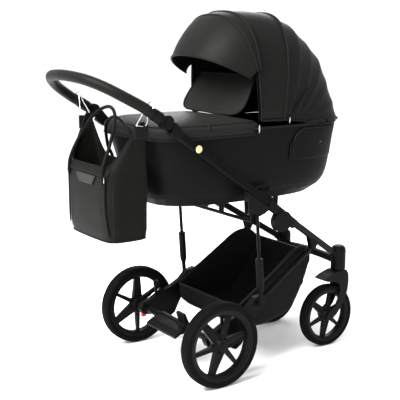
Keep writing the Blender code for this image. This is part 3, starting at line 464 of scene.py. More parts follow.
def turned(profile, count, centre):
    """Profile of (radius, y) pairs turned about an axis along Y."""
    rings = []
    for radius, y in profile:
        ring = []
        for k in range(count):
            angle = 2 * math.pi * k / count
            ring.append(Vector(centre) + Vector((radius * math.cos(angle), y, radius * math.sin(angle))))
        rings.append(ring)
    return loft(rings, wrap=True)


# Pieces.


def piece(name, shape, finish, body, replaces=(), thickness=0.0, level=0, sharp=60, bend=None):
    """Object with its material, riding on a body, or, when bend is given, left unattached with its transform baked
    in.
    """
    points, faces = shape
    mesh = bpy.data.meshes.new(name)
    mesh.from_pydata([Vector(point) for point in points], [], faces)
    model = bmesh.new()
    model.from_mesh(mesh)
    bmesh.ops.recalc_face_normals(model, faces=model.faces)
    model.to_mesh(mesh)
    model.free()
    mesh.shade_smooth()
    mesh.set_sharp_from_angle(angle=math.radians(sharp))
    mesh.materials.append(MATERIALS[finish])
    obj = bpy.data.objects.new(name, mesh)
    bpy.context.scene.collection.objects.link(obj)
    if thickness:
        solidify = obj.modifiers.new("thickness", "SOLIDIFY")
        solidify.thickness = thickness
        solidify.offset = -1
    if level:
        subdivide = obj.modifiers.new("smooth", "SUBSURF")
        subdivide.levels = level
        subdivide.render_levels = level
    apply_modifiers(obj)
    if bend:
        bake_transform(obj)
    else:
        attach(obj, body)
    if replaces:
        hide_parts(*replaces)
    return obj


def apply_modifiers(obj):
    if not obj.modifiers:
        return
    bpy.context.view_layer.update()
    evaluated = obj.evaluated_get(bpy.context.evaluated_depsgraph_get())
    mesh = bpy.data.meshes.new_from_object(evaluated)
    obj.modifiers.clear()
    old = obj.data
    obj.data = mesh
    bpy.data.meshes.remove(old)


def finish_node(name, finish):
    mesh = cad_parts[name].data
    mesh.materials.clear()
    mesh.materials.append(MATERIALS[finish])


def pushed(point, centre, distance):
    """Point moved away from a centre."""
    return point + distance * (point - place(*centre)).normalized()


def crumple(point, size, scale, seed=0.0):
    """Small smooth offset along all axes, the same every run."""
    where = Vector(point) * scale + Vector((seed, 1.7 * seed, 0.3 * seed))
    return size * Vector([noise.noise(where + shift) for shift in NOISE_SHIFTS])


# Carrycot.


def cot_ring(section, inset=0.0, z=None, count=120):
    height, back, front, half_width, squareness = section
    half_x, half_y = (front - back) / 2 - inset, half_width - inset
    ring = []
    for k in range(count):
        angle = 2 * math.pi * k / count
        x = (back + front) / 2 + half_x * power(math.cos(angle), 2 / squareness)
        y = half_y * power(math.sin(angle), 2 / squareness)
        ring.append(place(x, y, height if z is None else z))
    return ring


def cot_levels(steps):
    return smooth_sizes(COT_SECTIONS, steps)


def cot_shell():
    outer = [
        [point + crumple(point, 0.0012, 6) for point in cot_ring(section)] for section in cot_levels(5)
    ]
    top = [cot_ring(COT_SECTIONS[-1], inset, RIM_Z + rise) for inset, rise in ((0.002, 0.0008), (0.009, 0.0008))]
    inner = [cot_ring(section, 0.010) for section in cot_levels(3)[::-1]]
    shell = piece("cot_shell", loft(outer + top + inner, wrap=True), "cot_cloth", "carrycot", ["carrycot_tub"])
    for name, section, rise, radius in (
        ("cot_rim_binding", COT_SECTIONS[-1], -0.003, 0.0034),
        ("cot_lower_piping", COT_SECTIONS[0], 0.004, 0.0024),
    ):
        ring = cot_ring(section, 0.0003, section[0] + rise)
        piece(name, tube(ring, radius, 10, closed=True), "piping", "carrycot")
    ring = cot_ring(COT_SECTIONS[1], -0.0006, 0.636)
    piece("cot_lower_stitches", stitched(ring), "thread", "carrycot")


def cot_surface(x, z, side, out=0.0):
    """Point on the cot's side wall at a height and a place along it."""
    for low, high in zip(COT_SECTIONS, COT_SECTIONS[1:]):
        if low[0] <= z <= high[0] + 1e-6:
            section = blend_sizes(low, high, (z - low[0]) / (high[0] - low[0]))
            break
    else:
        section = COT_SECTIONS[-1] if z > RIM_Z else COT_SECTIONS[0]
    _, back, front, half_width, squareness = section
    share = (x - (back + front) / 2) / ((front - back) / 2)
    share = max(-1.0, min(1.0, share))
    y = half_width * (1 - abs(share) ** squareness) ** (1 / squareness)
    return place(x, side * (y + out), z)


def pocket_row(x, low, high, side, rows=14):
    return [cot_surface(x, low + (high - low) * k / rows, side, 0.0045) for k in range(rows + 1)]


def side_pockets():
    """Flat zipped pockets on both sides of the head end, with a rounded front corner."""
    low, high, start, end = 0.722, 0.829, 0.344, 0.560
    corner = 0.055
    for end_name, side in SIDES.items():
        rows = []
        for k in range(29):
            x = start + (end - start) * (k / 28) ** 1.3
            into = max(0.0, 1 - (x - start) / corner)
            top = high - corner * (1 - math.sqrt(max(0.0, 1 - into**2)))
            rows.append(pocket_row(x, low, top, side))
        panel = piece(f"side_pocket_{end_name}", grid(rows), "cot_cloth", "carrycot", thickness=0.0040, level=1)
        edge = rows[0] + [row[-1] for row in rows[1:]]
        piece(f"pocket_piping_{end_name}", tube(edge, 0.0026, 8, taper=2), "piping", "carrycot")
        zip_path = [p + Vector((-0.010, 0, 0)) for p in edge[:15]] + [edge[15]]
        zip_shape = tube(zip_path, 0.0048, 8, flatten=0.4, upward=(0, 1, 0), taper=2)
        piece(f"pocket_zip_{end_name}", zip_shape, "zip_tape", "carrycot")
        tag = [cot_surface(x, z, side, 0.0058) for x, z in ((0.470, 0.775), (0.482, 0.779))]
        piece(f"pocket_tag_{end_name}", tube(tag, 0.0022, 8, flatten=0.5, taper=1), "wire", "carrycot")


def rim_snaps():
    """Small metal pull at the front of the hood on each side of the rim."""
    for end_name, side in SIDES.items():
        spots = ((0.194, 0.2175, 0.855), (0.1935, 0.2185, 0.842), (0.1935, 0.218, 0.828))
        path = [place(x, side * y, z) for x, y, z in spots]
        shape = tube(path, 0.0032, 8, flatten=0.45, upward=(0, 1, 0), taper=1)
        piece(f"rim_pull_{end_name}", shape, "wire", "carrycot")


def quilted_mattress():
    rings = []
    for z, inset in ((0.6205, 0.015), (0.634, 0.013), (0.648, 0.016), (0.657, 0.024)):
        rings.append(cot_ring(COT_SECTIONS[0], inset, z, 96))
    middle = place(0.215, 0, 0)
    for share in (0.90, 0.78, 0.64, 0.50, 0.36, 0.22, 0.08):
        ring = []
        for point in cot_ring(COT_SECTIONS[0], 0.024, 0.6585, 96):
            spot = middle + (point - middle) * share
            spot.z = 0.6590 + 0.0022 * math.sin(46 * (spot.x + spot.y)) * math.sin(46 * (spot.x - spot.y))
            ring.append(spot)
        rings.append(ring)
    pad = piece("cot_mattress", loft(rings), "quilt", "carrycot", ["mattress"])


def apron_ring(share, z, count=120, grow=0.0):
    middle = (COT_BACK_X + APRON_FRONT_X) / 2
    half_x, half_y = (APRON_FRONT_X - COT_BACK_X) / 2 + grow, COT_HALF_WIDTH - 0.001 + grow
    ring = []
    for k in range(count):
        angle = 2 * math.pi * k / count
        c, s = math.cos(angle), math.sin(angle)
        squareness = 4.0 if c < 0 else 8.0
        x = middle + share * half_x * power(c, 2 / squareness)
        y = share * half_y * power(s, 2 / squareness)
        ring.append(place(x, y, z))
    return ring


def foot_apron():
    """Cover over the foot end: crowned top, rolled edge and a short skirt over the rim."""
    levels = [(0.824, 1.0, 0.0048), (0.836, 1.0, 0.0050), (0.850, 1.0, 0.0048), (0.858, 0.992, 0.0035)]
    levels += [(0.8635, 0.965, 0.0), (0.868, 0.90, 0.0), (0.873, 0.80, 0.0), (0.877, 0.66, 0.0), (0.8805, 0.50, 0.0)]
    levels += [(0.8825, 0.34, 0.0), (0.8835, 0.18, 0.0), (0.884, 0.04, 0.0)]
    rings = []
    for z, share, grow in levels:
        ring = []
        for point in apron_ring(share, z, grow=grow):
            ripple = 0.0010 * math.sin(140 * (point.x + 0.7 * point.y)) if z < 0.84 else 0
            moved = point + crumple(point, 0.0022 if z > 0.86 else 0.0010, 9, 3.0)
            moved.z += ripple
            ring.append(moved)
        rings.append(ring)
    points, faces = loft(rings, capped=False)
    faces.append(tuple(range(len(points) - 120, len(points))))
    cover = piece("foot_apron", (points, faces), "apron_cloth", "carrycot", ["apron"], thickness=0.002)
    ring = apron_ring(1.0, 0.823, grow=0.0050)
    piece("apron_hem", tube(ring, 0.0026, 8, closed=True), "piping", "carrycot")
    seam = apron_ring(0.968, 0.8640)
    piece("apron_seam", tube(seam, 0.0016, 8, closed=True), "piping", "carrycot")
    piece("apron_stitches", stitched(apron_ring(0.945, 0.8668)), "thread", "carrycot")
    for end_name, side in SIDES.items():
        for k, x in enumerate((-0.130, -0.010)):
            spots = ((0, 0.2185, 0.852), (0.004, 0.212, 0.862), (0.009, 0.200, 0.8685))
            tab = [place(x + dx, side * y, z) for dx, y, z in spots]
            shape = tube(smooth_path(tab, 4), 0.0045, 8, flatten=0.35)
            piece(f"apron_tab_{end_name}_{k}", shape, "webbing", "carrycot")


def wind_flap():
    """Padded flap raised from the apron, its lower edge curved and its corners round."""
    rows = []
    for a in range(21):
        share = a / 20
        rise = -0.010 + 0.132 * share
        half = 0.180 - 0.006 * share - 0.034 * max(0.0, share - 0.45) ** 1.1
        round_low = max(0.0, 1 - share / 0.28)
        half -= 0.045 * (1 - math.sqrt(max(0.0, 1 - round_low**2)))
        row = []
        for b in range(41):
            t = b / 20 - 1
            bow = math.cos(0.5 * math.pi * t)
            x = FLAP_PIVOT[0] - 0.002 + 0.072 * share + 0.016 * bow - 0.010 * (1 - bow) * (1 - share)
            z = FLAP_PIVOT[1] + rise - 0.008 * bow * (1 - share) + 0.006 * (1 - share)
            point = place(x, half * t, z)
            row.append(point + crumple(point, 0.0016, 11, 5.0))
        rows.append(row)
    flap = piece("wind_flap", grid(rows), "apron_cloth", "head_flap", ["head_flap"], thickness=0.005, level=1)
    edge = rows[0][::-1] + [row[0] for row in rows[1:]]
    edge += rows[-1][1:] + [row[-1] for row in rows[-2:0:-1]]
    piece("flap_binding", tube(edge, 0.0030, 8, closed=True), "piping", "head_flap")
    inner = [rows[2][k] + Vector((-0.0012, 0, 0)) for k in range(38, 2, -1)]
    piece("flap_stitches", stitched(inner), "thread", "head_flap")


# Hood.


def hoop(sizes, half_width=HOOD_HALF_WIDTH, count=61, reach=90, inset=0.0):
    base_x, base_z, top_x, top_z, squareness = sizes
    row = []
    for k in range(count):
        angle = math.radians(reach * (2 * k / (count - 1) - 1))
        lift = abs(math.cos(angle)) ** (2 / squareness)
        row.append(
            place(
                base_x + (top_x - base_x) * lift,
                (half_width - inset) * power(math.sin(angle), 2 / squareness),
                base_z + (top_z - inset - base_z) * lift,
            )
        )
    return row


# Value given as bend for the hood's cloth: the carrycot, a point at the front bow's crown and one as far past the mid
# bow.
HOOD_BEND = (
    "carrycot",
    tuple(place(FRONT_ARCH[2], 0, 1.0)),
    tuple(place(2 * MID_ARCH[2] - FRONT_ARCH[2], 0, 1.0)),
)


def hood_arches(steps):
    arches = [FRONT_ARCH]
    between = []
    for k in range(1, steps):
        share = k / steps
        sizes = list(blend_sizes(FRONT_ARCH, MID_ARCH, share))
        sizes[3] += 0.004 * math.sin(math.pi * share)
        between.append(tuple(sizes))
    arches += between
    return arches + smooth_sizes([MID_ARCH, *BACK_ARCHES], steps)


def hood_skin():
    arches = hood_arches(8)
    rows = []
    for a, sizes in enumerate(arches):
        row = []
        for k, point in enumerate(hoop(sizes)):
            centre = place(0.30, 0, 0.95)
            outward = (point - centre).normalized()
            sag = 0.0035 * math.sin(math.pi * (a % 8) / 8) if a > 8 else 0.0
            row.append(point - sag * outward + crumple(point, 0.0028, 7, 9.0) * min(1.0, a / 8))
        rows.append(row)
    skin = piece(
        "hood_skin", grid(rows), "hood_cloth", "hood_front", ["hood_front_panel", "hood_rear_panel"],
        thickness=0.0025, bend=HOOD_BEND,
    )
    for name, sizes, radius in (("hood_front_piping", FRONT_ARCH, 0.0030), ("hood_mid_piping", MID_ARCH, 0.0034)):
        path = [pushed(p, HOOD_CENTRE, 0.0008) for p in hoop(sizes)]
        piece(name, tube(path, radius, 8, upward=(1, 0, 0)), "piping", "hood_front", bend=HOOD_BEND)
    path = [p + Vector((0.007, 0, 0.0008)) for p in hoop(MID_ARCH)]
    piece("hood_mid_stitches", stitched(path), "thread", "hood_front", bend=HOOD_BEND)
    path = [p + Vector((0.007, 0, 0.0012)) for p in hoop(FRONT_ARCH)]
    piece("hood_front_stitches", stitched(path), "thread", "hood_front", bend=HOOD_BEND)
    hem = [p + Vector((0.001, 0, -0.001)) for p in rows[-1]]
    piece("hood_back_hem", tube(hem, 0.0042, 10, upward=(1, 0, 0)), "hood_cloth", "carrycot")
    for end_name, k in (("right", 0), ("left", -1)):
        side_hem = [row[k] for row in rows]
        piece(f"hood_side_hem_{end_name}", tube(side_hem, 0.0032, 8), "piping", "hood_front", bend=HOOD_BEND)
    hood_zips(rows)


def nearest_on(rows, x, z, side):
    """Point of the hood's cloth nearest to a place seen from the side."""
    target = place(x, 0, z)
    found = min(
        (point for row in rows for point in row if point.y * side > 0.10),
        key=lambda point: (point.x - target.x) ** 2 + (point.z - target.z) ** 2,
    )
    return found.copy()


def hood_zips(rows):
    """Zipped vent running up the back panel from each pivot, with its pull."""
    for end_name, side in SIDES.items():
        spots = [(0.330, 0.868), (0.348, 0.888), (0.366, 0.909), (0.384, 0.930), (0.402, 0.950), (0.420, 0.968)]
        path = []
        for x, z in spots:
            point = nearest_on(rows, x, z, side)
            point.x, point.z = place(x, 0, z).x, z
            path.append(point + Vector((0, side * 0.0028, 0)))
        path = smooth_path(path, 4)
        vent = tube(path, 0.0058, 10, flatten=0.34, upward=(0, 1, 0), taper=3)
        piece(f"vent_zip_{end_name}", vent, "zip_tape", "carrycot")
        teeth = stitched([p + Vector((0, side * 0.0020, 0)) for p in path], 0.0016, 0.0014, 0.0009)
        piece(f"vent_teeth_{end_name}", teeth, "piping", "carrycot")
        pull = [path[0] + Vector((0, side * 0.003, 0.004)), path[0] + Vector((-0.002, side * 0.004, -0.006)),
                path[0] + Vector((-0.003, side * 0.004, -0.016))]
        shape = tube(pull, 0.0026, 8, flatten=0.5, upward=(0, 1, 0), taper=1)
        piece(f"vent_pull_{end_name}", shape, "wire", "carrycot")


VISOR_TOPS = [
    (0.189, 1.2255, 0.206),
    (0.142, 1.212, 0.206),
    (0.098, 1.173, 0.204),
    (0.058, 1.124, 0.200),
    (0.032, 1.081, 0.194),
]


def visor():
    """Stiff brim: a cuff over the front bow and a lower panel, joined at a piped seam."""
    stations = []
    for k, (top_x, top_z, half) in enumerate(VISOR_TOPS):
        stations.append((0.208 - 0.004 * k, 0.998, top_x, top_z, 2.5 - 0.1 * k, half))
    rows = []
    fine = smooth_sizes(stations, 8)
    for a, sizes in enumerate(fine):
        row = hoop(sizes[:5], sizes[5], reach=84)
        rows.append([p + crumple(p, 0.0012, 8, 2.0) for p in row])
    brim = piece("visor_brim", grid(rows), "hood_cloth", "hood_front", ["hood_visor"], thickness=0.004, level=1)
    edge = rows[-1]
    piece("visor_edge", tube(edge, 0.0036, 10, upward=(1, 0, 0)), "hood_cloth", "hood_front")
    seam = rows[7]
    lifted = [pushed(p, VISOR_CENTRE, 0.0006) for p in seam]
    piece("visor_seam", tube(lifted, 0.0026, 8, upward=(1, 0, 0)), "piping", "hood_front")
    fold = [pushed(p, VISOR_CENTRE, 0.0010) for p in rows[8]]
    piece("visor_stitches", stitched(fold), "thread", "hood_front")
    stitches = [pushed(p, VISOR_CENTRE, 0.0012) for p in rows[-3]]
    piece("visor_edge_stitches", stitched(stitches), "thread", "hood_front")
    hem = [p + Vector((0.001, 0, 0)) for p in rows[0]]
    piece("visor_back_piping", tube(hem, 0.0030, 8, upward=(1, 0, 0)), "piping", "hood_front")


# Changing bag.


def bag_ring(share, inset, count=120):
    ring = []
    for k in range(count):
        angle = 2 * math.pi * k / count
        c, s = power(math.cos(angle), 0.38), power(math.sin(angle), 0.38)
        mouth = BAG_MOUTH + (BAG_SHOULDER - BAG_MOUTH) * abs(math.sin(angle)) ** 5
        floor = BAG_BOTTOM + inset
        z = floor + share * (mouth - floor)
        above = max(0.0, (z - 0.72) / (BAG_SHOULDER - 0.72))
        depth = (BAG_HALF_DEPTH - inset) * (1 - 0.78 * above**1.2) * (0.94 + 0.06 * min(1, share / 0.15))
        width = (BAG_HALF_WIDTH - inset) * (0.95 + 0.05 * min(1, share / 0.15)) + 0.028 * above
        lean = 0.004 * (1 - share) + 0.030 * above
        hollow = 0.006 * math.sin(math.pi * min(1, share)) * (1 - abs(math.sin(angle))) * inset / 0.006
        ring.append(place(BAG_X + lean + (depth - hollow) * c, width * s, z))
    return ring


def bag_shell():
    shares = [0, 0.012, 0.035, 0.08, *(0.14 + 0.043 * k for k in range(20)), 1.0]
    outer = []
    for share in shares:
        tuck = 0.006 * max(0.0, 1 - share / 0.03)
        ring = []
        for point in bag_ring(share, tuck):
            middle = place(BAG_X, 0, point.z)
            slack = crumple(point, 0.0048 * math.sin(math.pi * min(1.0, share + 0.08)), 8, 4.0)
            push = (point - middle).normalized() * 0.0030 * math.sin(math.pi * share)
            ring.append(point + Vector((slack.x, slack.y, 0.3 * slack.z)) + push)
        outer.append(ring)
    inner = [bag_ring(share, 0.0045) for share in shares[::-1]]
    bag = piece("bag_shell", loft(outer + inner[:-1]), "bag_leather", "bag", ["bag_body"], sharp=50)
    mouth = bag_ring(1.0, 0.002)
    piece("bag_mouth_binding", tube(mouth, 0.0034, 8, closed=True), "bag_leather", "bag")
    piece("bag_floor_piping", tube(outer[2], 0.0022, 8, closed=True), "piping", "bag")


def bag_back_x(z):
    share = (z - BAG_BOTTOM) / (BAG_MOUTH - BAG_BOTTOM)
    above = max(0.0, (z - 0.72) / (BAG_SHOULDER - 0.72))
    depth = BAG_HALF_DEPTH * (1 - 0.78 * above**1.2) * (0.94 + 0.06 * min(1, share / 0.15))
    return BAG_X + 0.004 * (1 - share) + 0.030 * above - depth


def on_bag(y, z, out=0.0):
    """Point on the bag's broad face towards the handle, pulled in near its edges like the cloth."""
    edge = min(1.0, abs(y) / BAG_HALF_WIDTH)
    depth = BAG_X - bag_back_x(z)
    x = BAG_X - depth * (1 - edge ** 5.26) ** 0.19
    bulge = 0.0030 * math.sin(math.pi * (z - BAG_BOTTOM) / (BAG_MOUTH - BAG_BOTTOM))
    return place(x - bulge - out, y, z)


def bag_details():
    """Top band, front panel with curved zips, patch, and the crease seams of the gussets."""
    rows = []
    for a in range(7):
        z = 0.7435 - 0.0245 * a / 6
        rows.append([on_bag(0.138 * (k / 20 - 1), z - 0.002 * abs(k / 20 - 1), 0.0034) for k in range(41)])
    band = piece("bag_band", grid(rows), "bag_leather", "bag", thickness=0.003, level=1)
    piece("bag_band_stitches", stitched([p + Vector((-0.0012, 0, 0)) for p in rows[5]]), "thread", "bag")
    for name, side in (("left", 1), ("right", -1)):
        spots = [(0.126, 0.722), (0.122, 0.690), (0.121, 0.650), (0.123, 0.600), (0.129, 0.555), (0.135, 0.522)]
        path = smooth_path([on_bag(side * y, z, 0.0030) for y, z in spots], 5)
        shape = tube(path, 0.0058, 10, flatten=0.4, upward=(1, 0, 0), taper=3)
        piece(f"bag_zip_{name}", shape, "zip_tape", "bag")
        teeth = stitched([p + Vector((-0.0020, 0, 0)) for p in path], 0.0018, 0.0014, 0.0010)
        piece(f"bag_teeth_{name}", teeth, "piping", "bag")
        pull = [on_bag(side * 0.126, z, 0.007) for z in (0.716, 0.708, 0.698)]
        piece(f"bag_pull_{name}", tube(pull, 0.0030, 8, flatten=0.5, upward=(1, 0, 0), taper=1), "wire", "bag")
        inner = [on_bag(side * (y - 0.010), z, 0.0034) for y, z in spots]
        piece(f"bag_panel_stitches_{name}", stitched(smooth_path(inner, 5)), "thread", "bag")
        seam = smooth_path([on_bag(side * y, z, 0.0012) for y, z in
                            ((0.149, 0.735), (0.149, 0.66), (0.149, 0.58), (0.146, 0.510))], 6)
        piece(f"bag_edge_seam_{name}", tube(seam, 0.0018, 8, taper=2), "piping", "bag")
    corners = [(0.062, 0.7135), (-0.070, 0.7135), (-0.048, 0.682), (0.040, 0.682)]
    rows = []
    for a in range(9):
        share = a / 8
        left = corners[0][0] + share * (corners[3][0] - corners[0][0])
        right = corners[1][0] + share * (corners[2][0] - corners[1][0])
        z = corners[0][1] + share * (corners[3][1] - corners[0][1])
        rows.append([on_bag(left + (right - left) * k / 16, z, 0.0032) for k in range(17)])
    patch = piece("bag_patch", grid(rows), "bag_patch", "bag", thickness=0.0022)
    edge = rows[0] + [row[-1] for row in rows[1:]] + rows[-1][-2::-1] + [row[0] for row in rows[-2:0:-1]]
    centre = sum(edge, Vector()) / len(edge)
    inside = [centre + 0.93 * (p - centre) + Vector((-0.0010, 0, 0)) for p in edge]
    piece("bag_patch_stitches", stitched(inside), "thread", "bag")


def bag_carriers():
    """Rolled handles sewn to both faces."""
    rear = [(-0.3435, 0.115, 0.690), (-0.338, 0.115, 0.748), (-0.308, 0.106, 0.815), (-0.268, 0.070, 0.893)]
    front = [(-0.1820, 0.105, 0.690), (-0.1850, 0.105, 0.744), (-0.206, 0.098, 0.785), (-0.224, 0.072, 0.856)]
    for name, half, apex, outward in (("rear", rear, (-0.250, 0.922), -1), ("front", front, (-0.230, 0.888), 1)):
        route = [place(*point) for point in half] + [place(apex[0], 0, apex[1])]
        route += [place(x, -y, z) for x, y, z in half[::-1]]
        path = smooth_path(route, 14)
        shape = tube(path, 0.0056, 14, upward=(1, 0, 0), taper=4)
        piece(f"bag_carrier_{name}", shape, "bag_leather", "bag", [f"bag_handle_{name}"])
        seam = [p + Vector((-0.0046 * outward, 0, -0.0030)) for p in path[10:-10]]
        piece(f"bag_carrier_stitches_{name}", stitched(seam), "thread", "bag")


def bag_hooks():
    """Webbing tab and bent-wire hook on each side of the bag."""
    x, z = HOOK
    for end_name, side in SIDES.items():
        low, high = BAG_SHOULDER - 0.050, BAG_SHOULDER - 0.006
        y = side * (BAG_HALF_WIDTH + 0.0315)
        rows = []
        for a in range(12):
            height = low + (high - low) * a / 11
            ripple = [side * 0.0008 * math.sin(k) for k in range(9)]
            rows.append([place(x - 0.025 + 0.050 * k / 8, y + ripple[k], height) for k in range(9)])
        tab = piece(
            f"bag_webbing_{end_name}", grid(rows), "webbing", "bag", [f"bag_strap_{end_name}"], thickness=0.0026
        )
        box_path = [place(x + dx, y + side * 0.0016, low + dz) for dx, dz in
                    ((-0.020, 0.004), (0.020, 0.004), (0.020, 0.022), (-0.020, 0.022), (-0.020, 0.004))]
        piece(f"webbing_stitches_{end_name}", stitched(box_path), "thread", "bag")
        corners = [(-0.018, y, high - 0.001), (0.018, y, high - 0.001), (0.006, side * 0.2165, z + 0.002)]
        corners += [(0.003, side * 0.2280, z + 0.0262), (0, side * 0.2480, z + 0.0272)]
        corners.append((0, side * 0.2605, z + 0.012))
        out = [place(x + dx, yy, zz) for dx, yy, zz in corners]
        back = [place(x + dx, yy, zz) for dx, yy, zz in
                ((-0.018, y, high - 0.001), (-0.006, side * 0.2165, z + 0.002), (-0.003, side * 0.2275, z + 0.0240))]
        wire = tube(smooth_path(out, 6), 0.0018, 8, upward=(1, 0.3, 0.1))
        ring = tube(smooth_path(back, 6), 0.0018, 8, upward=(1, 0.3, 0.1))
        piece(f"bag_hook_{end_name}", joined([wire, ring]), "wire", "bag")


# Basket.


def basket_section(x, top, bottom, half, inset):
    corner = min(0.032, 0.45 * (top - bottom))
    half -= inset
    bottom += inset
    right = []
    for k in range(7):
        right.append((half, top - (top - bottom - corner) * k / 6))
    for k in range(1, 7):
        angle = math.radians(15 * k)
        right.append((half - corner * (1 - math.cos(angle)), bottom + corner * (1 - math.sin(angle))))
    right += [((half - corner) * (1 - k / 6), bottom) for k in range(1, 7)]
    left = [(-y, z) for y, z in right[-2::-1]]
    return [place(x, y, z) for y, z in right + left]


def basket():
    """Cloth trough, bound at its rim and held by it between the swing arms."""
    stations = smooth_sizes(BASKET_STATIONS, 5)
    rows = []
    for x, top, bottom, half in stations:
        row = []
        for point in basket_section(x, top, bottom, half, 0.001):
            depth = max(0.0, min(1.0, (top - point.z) / max(top - bottom, 0.01)))
            row.append(point + crumple(point, 0.0042 * depth, 10, 6.0))
        rows.append(row)
    middle = len(rows[0]) // 2
    panels = [grid(rows)]
    for row in (rows[0], rows[-1]):
        right, left = row[: middle + 1], row[middle:][::-1]
        panels.append(grid([[r + (l - r) * k / 12 for k in range(13)] for r, l in zip(right[:-1], left[:-1])]))
    points, faces = joined(panels)
    cloth = piece("basket_trough", welded(points, faces), "basket_cloth", "rear_frame", ["shopping_basket"],
                  thickness=0.0025)
    rim = [row[0] for row in rows] + [row[-1] for row in rows[::-1]]
    piece("basket_rim", tube(rim, 0.0048, 10, closed=True), "piping", "rear_frame")
    for k in (5, 25):
        line = [pushed(p, BASKET_CENTRE, 0.0010) for p in rows[k]]
        piece(f"basket_seam_{k}", tube(line, 0.0016, 8, upward=(1, 0, 0)), "piping", "rear_frame")
    for end_name, side in SIDES.items():
        for k, station in enumerate((7, 15, 23)):
            x, top, _, half = stations[station]
            loop = [place(x, side * (half - 0.004), top - 0.012), place(x, side * (half + 0.001), top + 0.004)]
            piece(f"basket_tab_{end_name}_{k}", tube(loop, 0.0045, 8, flatten=0.4), "webbing", "rear_frame")


def welded(points, faces):
    model = bmesh.new()
    made = [model.verts.new(point) for point in points]
    for face in faces:
        model.faces.new([made[k] for k in face])
    bmesh.ops.remove_doubles(model, verts=model.verts, dist=0.0004)
    model.verts.index_update()
    out = [v.co.copy() for v in model.verts], [tuple(v.index for v in face.verts) for face in model.faces]
    model.free()
    return out


# Handle.


def handle_cover():
    """Leather sleeve on the U-shaped bar, with a raised seam along its underside and end collars."""
    half = [(-0.2290, 0.240, 0.9155), (-0.250, 0.240, 0.9286), (-0.272, 0.240, 0.9424), (-0.325, 0.216, 0.9745)]
    half += [(-0.357, 0.188, 0.9955), (-0.382, 0.150, 1.0115), (-0.400, 0.098, 1.0225)]
    route = [place(x, -y, z) for x, y, z in half] + [place(-0.4095, 0, 1.028)]
    route += [place(x, y, z) for x, y, z in half[::-1]]
    path = smooth_path(route, 12)
    shape = tube(path, GRIP_RADIUS, 32, upward=(0.5, 0, 0.86))
    piece("handle_cover", shape, "grip_leather", "handlebar", ["handle_grip"])
    under = [p + Vector((0.30, 0, -0.95)).normalized() * (GRIP_RADIUS + 0.0002) for p in path[4:-4]]
    piece("handle_seam", tube(under, 0.0016, 8), "grip_leather", "handlebar")
    piece("handle_stitches", stitched([p + Vector((0, 0, -0.0012)) for p in under]), "thread", "handlebar")
    for end_name, ends in (("right", path[:5]), ("left", path[-5:])):
        shape = tube(ends, GRIP_RADIUS + 0.0012, 32, upward=(0.5, 0, 0.86))
        piece(f"handle_collar_{end_name}", shape, "moulding", "handlebar")


# Wheels.


def tyre_profile(radius, width):
    inner = radius - 0.146 * radius
    half = width / 2
    side = [(inner, 0.80), (inner + 0.004, 0.97), (inner + 0.010, 1.0), (radius - 0.011, 1.0), (radius - 0.005, 0.93)]
    side += [(radius - 0.0020, 0.80), (radius - 0.0008, 0.62), (radius - 0.0012, 0.58), (radius - 0.0002, 0.54)]
    side += [(radius, 0.30), (radius - 0.0016, 0.27), (radius - 0.0016, 0.20), (radius, 0.17)]
    low = [(r, -share * half) for r, share in side]
    return low + [(r, share * half) for r, share in side[::-1]]


def spoke(centre, radius, width, side, angle, broad):
    """Channel-backed spoke, tapering from the hub to the rim."""
    outward = Vector((math.cos(angle), 0, math.sin(angle)))
    across = Vector((-math.sin(angle), 0, math.cos(angle)))
    near, far = (0.135, 0.078) if broad else (0.066, 0.040)
    rings = []
    for k in range(7):
        share = k / 6
        reach = 0.12 + 0.68 * share
        half = (near + (far - near) * share**0.85) * radius
        face = side * (0.30 - 0.16 * share) * width
        back = side * -0.10 * width
        middle = Vector(centre) + reach * radius * outward
        lip, dip = 0.22 * half, 0.0034 if broad else 0.0016
        profile = [(-half, back), (half, back), (half, face - side * 0.001), (half - 0.5 * lip, face), (half - lip, face)]
        profile += [(half - 1.6 * lip, face - side * dip), (-half + 1.6 * lip, face - side * dip)]
        profile += [(-half + lip, face), (-half + 0.5 * lip, face), (-half, face - side * 0.001)]
        rings.append([middle + a * across + Vector((0, b, 0)) for a, b in profile])
    return loft(rings)


def wheel(name, body, centre, radius, width, side, turn, tyre_node, rim_node, bore):
    piece(f"{name}_tyre", turned(tyre_profile(radius, width), 112, centre), "rubber", body, [tyre_node], sharp=40)
    seat = radius - 0.146 * radius - 0.0004
    lip, half = 0.725 * radius, 0.42 * width
    ring = [(lip, -0.7 * half), (lip + 0.004, -0.9 * half), (seat - 0.003, -half), (seat, -half), (seat, half)]
    ring += [(seat - 0.003, half), (lip + 0.004, 0.9 * half), (lip, 0.7 * half), (lip - 0.0015, 0.3 * half)]
    ring += [(lip - 0.0015, -0.3 * half)]
    back, front = -0.48 * width * side, 0.42 * width * side
    waist = 0.19 * radius
    hub = [(bore, back), (waist - 0.002, back), (waist, 0.9 * back), (waist, 0.50 * front), (0.96 * waist, 0.62 * front)]
    hub += [(0.80 * waist, 0.80 * front), (0.74 * waist, front), (bore, front)]
    shapes = [turned(ring, 96, centre), turned(hub, 64, centre)]
    for k in range(6):
        shapes.append(spoke(centre, radius, width, side, math.radians(turn + 60 * k), k % 2 == 0))
    piece(f"{name}_rim", joined(shapes), "wheel_plastic", body, [rim_node], sharp=35)
    cap = [(0.0004, 0.96 * front), (0.46 * waist, 0.96 * front), (0.50 * waist, 0.99 * front)]
    cap += [(0.50 * waist, 1.06 * front), (0.44 * waist, 1.12 * front), (0.20 * waist, 1.15 * front)]
    cap += [(0.0004, 1.15 * front)]
    piece(f"{name}_cap", turned(cap, 40, centre), "moulding", body)


